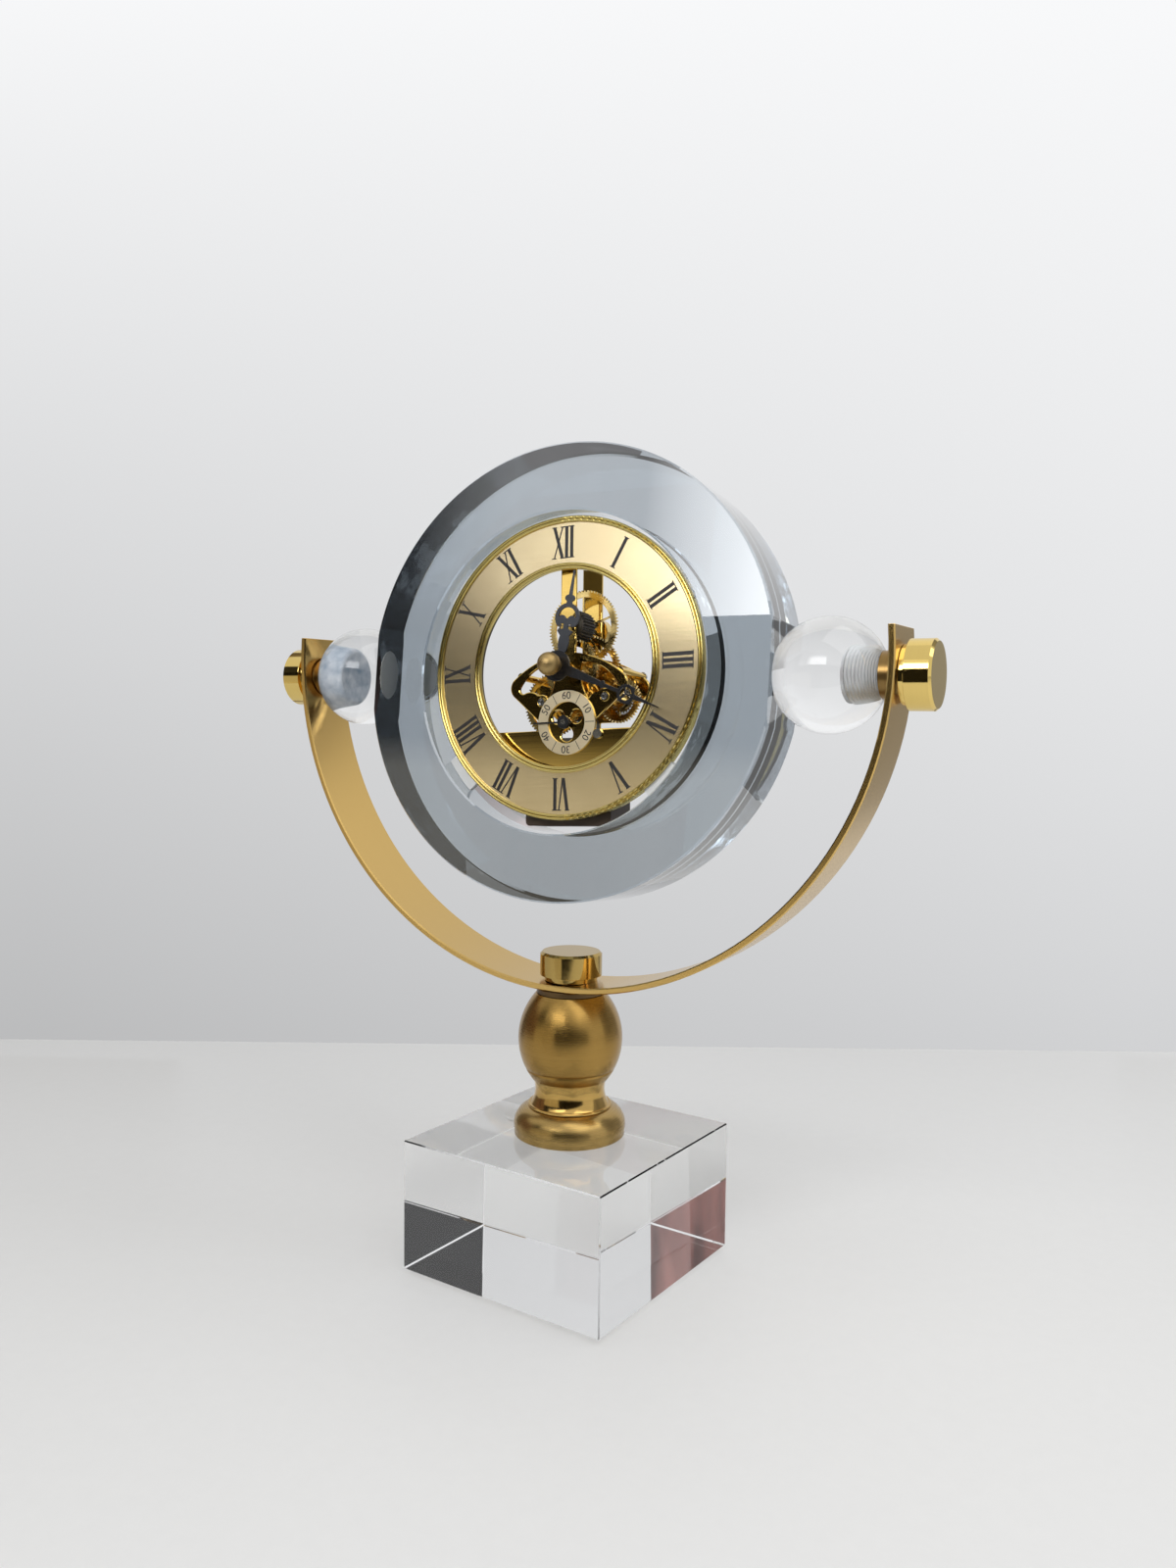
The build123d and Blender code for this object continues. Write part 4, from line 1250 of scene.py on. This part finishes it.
@dataclass
class Dial:
    """Brushed ring of the dial with its printed numerals and its two beads.

    Attributes:
        face: Height of the dial's face over the ring's middle.
        low: Radius of the numerals' feet.
        high: Radius of the numerals' heads.
        thick: Width of a thick stroke.
        thin: Width of a thin stroke.
        serif: Width of a serif.
        serif_long: Length of a serif on a slanted stroke, as a share of the letter's room.
        serif_ink: Thickness of a serif's print, as a share of a stroke's.
        narrow: Room of an I.
        wide: Room of a V or an X.
        inset: How far a slanted stroke's ends stand in from its room's sides.
        shift: How far the print stands to the right of the dial's middle.
        ink: Thickness of the print.
    """

    face: float = 7.4
    low: float = 36.6
    high: float = 47.4
    thick: float = 1.2
    thin: float = 0.5
    serif: float = 0.36
    serif_long: float = 0.42
    serif_ink: float = 0.9
    narrow: float = 1.95
    wide: float = 4.3
    inset: float = 0.55
    shift: float = -0.5
    ink: float = 0.03

    def build(self, looks: Finishes, insert: Place) -> None:
        """Dress the dial and print its numerals.

        Args:
            looks: Finishes of the clock.
            insert: Frame of the clock insert.
        """
        dress(looks.dial, "dial")
        dress(looks.pad, "insert_pads")
        recut("bezel_beads", "bezel", Body.HEAD, "polished_brass", looks.bead)
        recut("rim_beads", "dial_rim", Body.HEAD, "polished_brass", looks.bead)
        recut("case_wall", "case_ring", Body.HEAD, "gilt_brass", looks.case)
        for numeral in Numeral:
            piece = Piece(f"numeral_{numeral.name}")
            room = sum(self._room(letter) for letter in numeral.name)
            left = -room / 2
            for letter in numeral.name:
                self._letter(piece, letter, left)
                left += self._room(letter)
            turn = Matrix.Rotation(-2 * pi * numeral.value / len(Numeral), 4, "Z")
            aside = Matrix.Translation((self.shift, 0.0, 0.0))
            piece.done(insert.matrix() @ aside @ turn, Body.HEAD, "black_hand", looks.ink)

    def _room(self, letter: str) -> float:
        """Width that a letter takes."""
        return self.narrow if letter == "I" else self.wide

    def _letter(self, piece: Piece, letter: str, left: float) -> None:
        """Print one letter.

        Args:
            piece: Piece that takes the strokes.
            letter: I, V or X.
            left: Where its room starts.
        """
        middle, right = left + self._room(letter) / 2, left + self._room(letter)
        slope = (left + self.inset, right - self.inset)
        if letter == "I":
            self._stroke(piece, middle, middle, self.thick)
            self._serif(piece, middle, self.low, self.narrow)
            self._serif(piece, middle, self.high - self.serif, self.narrow)
        elif letter == "V":
            self._stroke(piece, middle, slope[0], self.thick)
            self._stroke(piece, middle + self.thin / 2, slope[1], self.thin)
            for foot in slope:
                self._serif(piece, foot, self.high - self.serif, self.wide * self.serif_long)
        else:
            self._stroke(piece, slope[1], slope[0], self.thick)
            self._stroke(piece, slope[0], slope[1], self.thin)
            for foot in slope:
                self._serif(piece, foot, self.low, self.wide * self.serif_long)
                self._serif(piece, foot, self.high - self.serif, self.wide * self.serif_long)

    def _stroke(self, piece: Piece, foot: float, head: float, width: float) -> None:
        """Straight stroke from the numeral's foot to its head.

        Args:
            piece: Piece that takes the stroke.
            foot: Middle of its lower end.
            head: Middle of its upper end.
            width: Its width.
        """
        half = width / 2
        corners = [(foot - half, self.low), (foot + half, self.low),
                   (head + half, self.high), (head - half, self.high)]
        piece.plate(corners, self.face + PRINT_GAP, self.ink)

    def _serif(self, piece: Piece, middle: float, low: float, width: float) -> None:
        """Short line across the end of a stroke.

        Args:
            piece: Piece that takes the line.
            middle: Its middle.
            low: Its lower edge.
            width: Its length.
        """
        half, high = width / 2, low + self.serif
        corners = [(middle - half, low), (middle + half, low), (middle + half, high), (middle - half, high)]
        piece.plate(corners, self.face + PRINT_GAP, self.ink * self.serif_ink)


@dataclass
class SecondsDial:
    """Small ring of the seconds, with its numbers and division lines.

    Attributes:
        middle: Its middle below the dial's.
        face: Height of its face over the ring's middle.
        low: Its inner radius.
        high: Its outer radius.
        size: Height of the type.
        line: Width of a division line.
        margin: Room at each end of a division line.
        ink: Thickness of the print.
        numbers: How many numbers it has.
    """

    middle: float = -18.0
    face: float = 5.2
    low: float = 7.0
    high: float = 10.79
    size: float = 3.5
    line: float = 0.2
    margin: float = 0.2
    ink: float = 0.03
    numbers: int = 6

    def build(self, looks: Finishes, insert: Place) -> None:
        """Dress the ring and print it.

        Args:
            looks: Finishes of the clock.
            insert: Frame of the clock insert.
        """
        dress(looks.subdial, "seconds_dial")
        place = insert.matrix() @ Matrix.Translation((0.0, self.middle, 0.0))
        step = 360.0 / self.numbers
        lines = Piece("seconds_lines")
        half, low, high = self.line / 2, self.low + self.margin, self.high - self.margin
        for count in range(self.numbers):
            turn = Matrix.Rotation(radians(step * (count + 0.5)), 4, "Z")
            corners = [turn @ Vector((x, y, 0.0))
                       for x, y in ((-half, low), (half, low), (half, high), (-half, high))]
            lines.plate([(corner.x, corner.y) for corner in corners], self.face + PRINT_GAP, self.ink)
        lines.done(place, Body.HEAD, "black_hand", looks.ink)
        away = Matrix.Translation((0.0, (self.low + self.high) / 2, self.face + PRINT_GAP + self.ink / 2))
        for count in range(self.numbers):
            seconds = count * 60 // self.numbers or 60
            number = Piece(f"seconds_{seconds}").lettered(str(seconds), self.size, self.ink)
            turn = Matrix.Rotation(-radians(step * count), 4, "Z")
            number.done(place @ turn @ away, Body.HEAD, "black_hand", looks.ink)


@dataclass
class Movement:
    """Gilt plates, posts and train of the open movement.

    Attributes:
        edge: Width of the plates' polished edges.
    """

    edge: float = 0.34

    def build(self, looks: Finishes) -> None:
        """Round the plates' edges and dress the train.

        Args:
            looks: Finishes of the clock.
        """
        for name, node in (("pierced_front", "front_plate"), ("back_plate", "rear_plate")):
            recut(name, node, Body.HEAD, "gilt_brass", looks.plate, self.edge)
        for name, node, finish in (("turned_posts", "plate_posts", looks.plate),
                                   ("polished_bushes", "plate_bushes", looks.bright),
                                   ("polished_screw", "plate_screw", looks.bright),
                                   ("back_screws", "rear_screws", looks.bright)):
            recut(name, node, Body.HEAD, "steel", finish)
        dress(looks.wheel, "center_wheel", "minute_wheel", "hour_wheel", "third_wheel", "idler_wheel",
              "setting_knob")
        dress(looks.bright, "center_arbor", "minute_arbor", "third_arbor", "second_arbor", "idler_arbor")
        dress(looks.drum, "drum_pinion")
        dress(looks.module, "quartz_module")
        dress(looks.bay, "cell_box")
        dress(looks.wrap, "cell")


@dataclass
class Hands:
    """Hour, minute and seconds hand, and the ball cap before them.

    Attributes:
        edge: Width of the hands' broken edges.
    """

    edge: float = 0.06

    def build(self, looks: Finishes) -> None:
        """Break the hands' edges and smooth the cap.

        Args:
            looks: Finishes of the clock.
        """
        for name, node, body, finish in (
                ("hour_spade", "hour_hand", Body.HOUR, looks.hour_paint),
                ("minute_spade", "minute_hand", Body.CENTER, looks.hand_paint),
                ("seconds_needle", "second_hand", Body.SECONDS, looks.hand_paint)):
            recut(name, node, body, "black_hand", finish, self.edge)
        recut("ball_cap", "hand_cap", Body.CENTER, "antique_brass", looks.cap)


def upright(middle: Vector, side: Vector, width: float, tall: float) -> bmesh.types.BMesh:
    """Flat upright sheet, in metres.

    Args:
        middle: Its middle.
        side: Its level direction, of length 1.
        width: Its width.
        tall: Its height.

    Returns:
        Its mesh.
    """
    sheet = bmesh.new()
    bmesh.ops.create_grid(sheet, x_segments=1, y_segments=1, size=0.5)
    bmesh.ops.scale(sheet, vec=(width, tall, 1.0), verts=sheet.verts)
    place = Place(middle, side, UP, side.cross(UP)).metres()
    bmesh.ops.transform(sheet, matrix=place, verts=sheet.verts)
    return sheet


@dataclass
class Lamp:
    """Square soft box.

    Attributes:
        name: Its name.
        place: Its middle, metres.
        aim: Point that it faces.
        size: Width and height.
        watts: Its power.
        shown: Whether reflections show it.
    """

    name: str
    place: Point3
    aim: Point3
    size: Point
    watts: float
    shown: bool = False

    def build(self) -> None:
        """Hang the lamp."""
        data = bpy.data.lights.new(self.name, "AREA")
        data.shape = "RECTANGLE"
        data.size, data.size_y = self.size
        data.energy = self.watts
        made = bpy.data.objects.new(self.name, data)
        way = Vector(self.aim) - Vector(self.place)
        made.matrix_world = Matrix.Translation(self.place) @ way.to_track_quat("-Z", "Y").to_matrix().to_4x4()
        made.visible_camera = False
        made.visible_glossy = self.shown
        made.visible_transmission = False
        bpy.context.scene.collection.objects.link(made)


@dataclass
class Card:
    """Upright glowing card beside the table that only reflections show: a painted reflection, dark or bright,
    in metal and glass.

    Attributes:
        name: Its name.
        start: One end of its foot, metres.
        end: Other end of its foot.
        low: Height of its lower edge.
        high: Height of its upper edge.
        dark: Its darkest colour.
        pale: Colour of its streaks.
        to: Rays that it is shown to.
        streaks: Streaks for each metre of its length.
        ease: Shares of its length and height over which it fades in from its start and out at its top.
    """

    name: str
    start: Point
    end: Point
    low: float
    high: float
    dark: Colour
    pale: Colour
    to: Ray = Ray.METAL
    streaks: float = 9.0
    ease: Point = (0.001, 0.001)

    TALL: ClassVar[float] = 0.13  # streaks for each metre upwards, as a share of those along it
    GAIN: ClassVar[float] = 2.4  # contrast of the streaks
    SHIFT: ClassVar[float] = 0.7

    def run(self) -> Vector:
        """Level line from its start to its end."""
        return Vector((self.end[0] - self.start[0], self.end[1] - self.start[1], 0.0))

    def mesh(self) -> bmesh.types.BMesh:
        """Flat sheet between the two ends.

        Returns:
            Its mesh, in metres.
        """
        run = self.run()
        middle = Vector((*self.start, (self.low + self.high) / 2)) + run / 2
        return upright(middle, run.normalized(), run.length, self.high - self.low)

    def paint(self, graph: Graph) -> None:
        """Soft streaks, clear to every ray that the card isn't shown to.

        Args:
            graph: Empty graph of the material.
        """
        scale = (self.streaks, self.streaks, self.streaks * self.TALL)
        place = graph.node("ShaderNodeMapping", {}, {"Vector": graph.coords(), "Scale": scale})
        streak = (graph.noise(place, 1.0) * self.GAIN - self.SHIFT).clamped()
        mirrored = graph.ray("Glossy Depth").at_most(1.0) * graph.ray(self.to.value)
        run = self.run()
        begin = Vector((*self.start, 0.0)).dot(run)
        across = (graph.along(graph.coords(), run) - begin) / run.length_squared
        rise = (graph.along(graph.coords(), UP) - self.low) / (self.high - self.low)
        shown = (across / self.ease[0]).clamped() * ((1.0 - rise) / self.ease[1]).clamped()
        graph.glow_or_clear(graph.blend(streak, self.dark, self.pale), 2, mirrored * shown)


@dataclass
class Stage:
    """Pale table, pale wall, soft lamps, and glowing cards that paint the reflections in metal and glass.

    Attributes:
        floor: Half the width of the table.
        wall_away: Distance of the wall from the camera.
        wall_half: Half the width of the wall.
        wall_top: Height of the wall.
        floor_colour: Colour of the table at its side that is painted brighter, as if more light fell there.
        floor_dim: Colour of the table at its other side, painted darker as if in shade.
        wall_high: Colour of the wall at its top.
        wall_mid: Colour of the wall behind the ring.
        wall_low: Colour of the wall over the table.
        wall_rises: Height of the middle colour, and from there to the top colour.
        wall_fade: Width over which the wall's ends fade.
        shade: Colour, weight, height and slope to the left of the painted shade in the wall's lower left
            corner.
        scratches: Scratches of the table for each metre, their detail and roughness.
        worn: Shade of a scratch.
        floor_slope: How fast the painted light brightens the table to the side, for each metre.
        floor_rough: Roughness of the table.
        floor_shine: Strength of its shine.
        ambient: Strength of the light from all round.
        lamps: Soft boxes.
        cards: Glowing cards round the table and behind the ring, painted reflections for metal and glass.
    """

    floor: float = 3.0
    wall_away: float = 0.672
    wall_half: float = 0.43
    wall_top: float = 1.2
    floor_colour: Colour = (0.88, 0.88, 0.875)
    floor_dim: Colour = (0.74, 0.74, 0.735)
    wall_high: Colour = (0.94, 0.945, 0.955)
    wall_mid: Colour = (0.78, 0.785, 0.795)
    wall_low: Colour = (0.64, 0.645, 0.655)
    wall_rises: Point = (0.22, 0.35)
    wall_fade: float = 0.07
    shade: tuple[Colour, float, float, float] = ((0.3, 0.3, 0.3), 0.42, 0.6, 1.6)
    scratches: Point3 = (160.0, 8.0, 0.75)
    worn: float = 0.95
    floor_slope: float = 1.4
    floor_rough: float = 0.5
    floor_shine: float = 0.2
    ambient: float = 0.5
    lamps: tuple[Lamp, ...] = (
        Lamp("overhead", (0.55, -0.1, 1.1), (0.05, 0.0, 0.1), (1.1, 1.1), 5.6, True),
        Lamp("front_window", (-0.16, -1.15, 0.78), (0.0, 0.0, 0.2), (0.86, 0.36), 7.0),
    )
    # painted reflections: each card glows only in what metal or glass mirrors; the dark cards paint shade
    # into those reflections and window_card paints the window's highlight
    cards: tuple[Card, ...] = (
        Card("front_card", (-1.2, -0.42), (1.2, -0.42), 0.001, 0.339, (0.008, 0.007, 0.006),
             (0.02, 0.018, 0.016)),
        Card("low_card", (-0.7, -0.415), (-0.04, -0.415), 0.001, 0.25, (0.45, 0.42, 0.35), (0.7, 0.66, 0.57),
             ease=(0.001, 0.1)),
        Card("upper_card", (-1.7, -1.35), (1.3, -1.35), 0.3, 1.6, (0.9, 0.9, 0.9), (1.1, 1.1, 1.1)),
        Card("top_card", (-0.31, -0.42), (-0.19, -0.42), 0.342, 0.393, (1.2, 1.2, 1.24), (1.4, 1.4, 1.45)),
        Card("window_card", (-0.57, -1.15), (0.3, -1.15), 0.55, 1.05, (7.4, 7.4, 7.4), (8.2, 8.2, 8.2),
             ease=(0.35, 0.4)),
        Card("left_card", (-0.5, -0.8), (-0.85, 0.4), 0.001, 0.45, (0.06, 0.04, 0.035), (0.3, 0.2, 0.18)),
        Card("far_card", (-0.5, 0.0), (-0.3, 0.1), 0.001, 0.6, (0.09, 0.075, 0.06), (0.25, 0.21, 0.17)),
        Card("right_card", (0.28, 0.5), (0.85, 0.3), 0.001, 0.8, (0.2, 0.2, 0.21), (0.36, 0.36, 0.38)),
        Card("brown_card", (-0.8, -0.43), (-0.15, -0.43), 0.05, 0.45, (0.08, 0.03, 0.027),
             (0.36, 0.15, 0.13), Ray.GLASS, 70.0),
        Card("side_card", (0.24, 0.455), (0.6, 0.363), 0.05, 0.36, (0.01, 0.01, 0.011),
             (0.035, 0.035, 0.037), Ray.GLASS),
        Card("rim_card", (-0.09, 0.03), (-0.036, 0.03), 0.15, 0.266, (0.008, 0.007, 0.006),
             (0.03, 0.027, 0.023), Ray.GLASS),
        Card("crown_card", (-0.037, 0.03), (0.012, 0.03), 0.232, 0.28, (0.05, 0.05, 0.052),
             (0.09, 0.09, 0.095), Ray.GLASS),
        Card("bore_card", (0.02, 0.03), (0.08, 0.03), 0.135, 0.22, (0.16, 0.165, 0.16),
             (0.32, 0.325, 0.32), Ray.GLASS),
        Card("high_card", (-0.3, -0.42), (-1.2, -0.42), 0.339, 0.6, (0.02, 0.02, 0.02), (0.05, 0.05, 0.05),
             ease=(0.1, 0.001)),
        Card("heel_card", (-0.065, 0.03), (0.03, 0.03), 0.11, 0.15, (0.16, 0.16, 0.155),
             (0.3, 0.3, 0.29), Ray.GLASS),
        Card("grey_card", (0.142, 0.372), (0.3, 0.459), 0.001, 0.27, (0.26, 0.26, 0.26), (0.36, 0.36, 0.36)),
    )

    def build(self, eye: Vector, ahead: Vector) -> None:
        """Set the stage.

        Args:
            eye: Where the camera stands.
            ahead: Its level direction of view.
        """
        self._world()
        self._table(ahead.cross(UP))
        self._wall(eye, ahead)
        for lamp in self.lamps:
            lamp.build()
        for card in self.cards:
            card.paint(self._sheet(card.name, card.name, card.mesh(), False))

    def _seen(self, graph: Graph) -> Value:
        """1 for a ray from the camera, through glass or off metal."""
        straight, glossy = graph.ray("Is Camera Ray"), graph.ray("Is Glossy Ray")
        return straight.at_least(glossy).at_least(graph.ray("Is Transmission Ray"))

    def _world(self) -> None:
        """Pale surroundings that light the object softly."""
        world = bpy.data.worlds.new("pale_room")
        world.use_nodes = True
        bpy.context.scene.world = world
        graph = Graph(world.node_tree)
        shade = graph.node("ShaderNodeBackground", {}, {
            "Color": graph.blend(self._seen(graph), (self.ambient,) * 3, self.wall_mid), "Strength": 1.0})
        graph.node("ShaderNodeOutputWorld", {}, {"Surface": shade})

    def _table(self, side: Vector) -> None:
        """Pale table top with fine scratches and painted light that makes it brighter to one side.

        Args:
            side: Level direction of that side.
        """
        mesh = bmesh.new()
        bmesh.ops.create_grid(mesh, x_segments=1, y_segments=1, size=self.floor)
        graph = self._sheet("table_top", "pale_table", mesh)
        mark = graph.noise(graph.coords(), *self.scratches)
        # painted light and shade: the table's colour, scratches included, brightens towards one side as if
        # more light fell there
        lit = (graph.along(graph.coords(), side) * self.floor_slope + 0.5).clamped()
        plain = graph.blend(lit, self.floor_dim, self.floor_colour)
        worn = graph.blend(lit, *(tuple(self.worn * part for part in colour)
                                  for colour in (self.floor_dim, self.floor_colour)))
        graph.output(graph.principled({
            "Base Color": graph.blend(mark, plain, worn), "Roughness": self.floor_rough,
            "Specular IOR Level": self.floor_shine}))

    def _wall(self, eye: Vector, ahead: Vector) -> None:
        """Pale wall behind the object, seen from the front only, with painted light and shade that make it
        brighter upwards and to the right.

        Args:
            eye: Where the camera stands.
            ahead: Its level direction of view.
        """
        side = ahead.cross(UP)
        middle = Vector((eye.x, eye.y, 0.0)) + ahead * self.wall_away
        mesh = upright(middle + UP * self.wall_top / 2, side, 2 * self.wall_half, self.wall_top)
        graph = self._sheet("pale_wall", "pale_wall_paint", mesh, False)
        rise = graph.along(graph.coords(), UP)
        across = graph.along(graph.coords(), side) - middle.dot(side)
        first, second = self.wall_rises
        # painted light: the wall's colour brightens upwards as if lit from above
        low = graph.blend((rise / first).at_most(1.0), self.wall_low, self.wall_mid)
        full = graph.blend(((rise - first) / second).clamped(), low, self.wall_high)
        # painted shade: the lower left of the wall is darkened as if in shade
        dark, weight, top, slope = self.shade
        shade = (0.5 - across * slope).clamped() * (1.0 - rise / top).at_least(0.0) * weight
        away = (across * across) ** 0.5
        ends = ((away - self.wall_half + self.wall_fade) / self.wall_fade).clamped()
        behind = graph.node("ShaderNodeNewGeometry", {}, {}, "Backfacing")
        graph.glow_or_clear(graph.blend(shade, full, dark), 1, behind.at_least(ends))

    def _sheet(self, name: str, paint: str, mesh: bmesh.types.BMesh, real: bool = True) -> Graph:
        """Put a mesh on the stage.

        Args:
            name: Name of the object.
            paint: Name of its material.
            mesh: Its mesh.
            real: Whether it throws a shadow and lights what is round it.

        Returns:
            Empty graph of its material.
        """
        data = bpy.data.meshes.new(name)
        mesh.to_mesh(data)
        mesh.free()
        made = bpy.data.objects.new(name, data)
        bpy.context.scene.collection.objects.link(made)
        made.visible_shadow = made.visible_diffuse = real
        surface = bpy.data.materials.new(paint)
        surface.use_nodes = True
        data.materials.append(surface)
        return Graph(surface.node_tree)


@dataclass
class View:
    """Camera at the photograph's angle.

    Attributes:
        place: Where it stands, metres.
        azimuth: Degrees to the right of straight on.
        fall: Degrees that it looks down.
        roll: Degrees that it leans.
        lens: Focal length.
        sensor: Long side of the film.
        near: Nearest distance that it sees, metres.
    """

    place: Point3 = (0.200079, -0.351882, 0.1915003)
    azimuth: float = 28.9006
    fall: float = 3.6028
    roll: float = 0.6192
    lens: float = 27.518
    sensor: float = 36.0
    near: float = 0.01

    def ahead(self) -> Vector:
        """Level direction of view."""
        return Vector((-sin(radians(self.azimuth)), cos(radians(self.azimuth)), 0.0))

    def build(self) -> None:
        """Set the camera up."""
        fall, lean = radians(self.fall), radians(self.roll)
        front = self.ahead() * cos(fall) - UP * sin(fall)
        right = front.cross(UP).normalized()
        up = right.cross(front)
        turned = Place(Vector(self.place), cos(lean) * right + sin(lean) * up,
                       cos(lean) * up - sin(lean) * right, -front)
        data = bpy.data.cameras.new("front_camera")
        data.sensor_width = self.sensor
        data.lens = self.lens
        data.clip_start = self.near
        made = bpy.data.objects.new("front_camera", data)
        made.matrix_world = turned.metres()
        bpy.context.scene.collection.objects.link(made)
        bpy.context.scene.camera = made


def main() -> None:
    """Build the clock's pieces in order, then the stage and the camera."""
    logging.basicConfig(level=logging.INFO, format="%(name)s: %(message)s")
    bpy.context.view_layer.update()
    insert, head = insert_place(), head_place()
    low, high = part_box("bow")
    looks = Finishes.of_clock(insert, head, Vector((0.0, 0.0, low.z + (high.x - low.x) / 2)))
    CrystalBase().build(looks)
    Pedestal().build(looks)
    Bow().build(looks)
    Pivots().build(looks, head)
    CrystalRing().build(looks, head)
    Dial().build(looks, insert)
    SecondsDial().build(looks, insert)
    Movement().build(looks)
    Hands().build(looks)
    view = View()
    view.build()
    Stage().build(Vector(view.place), view.ahead())
    bpy.context.scene.view_settings.view_transform = "Standard"


if __name__ == "__main__":
    main()
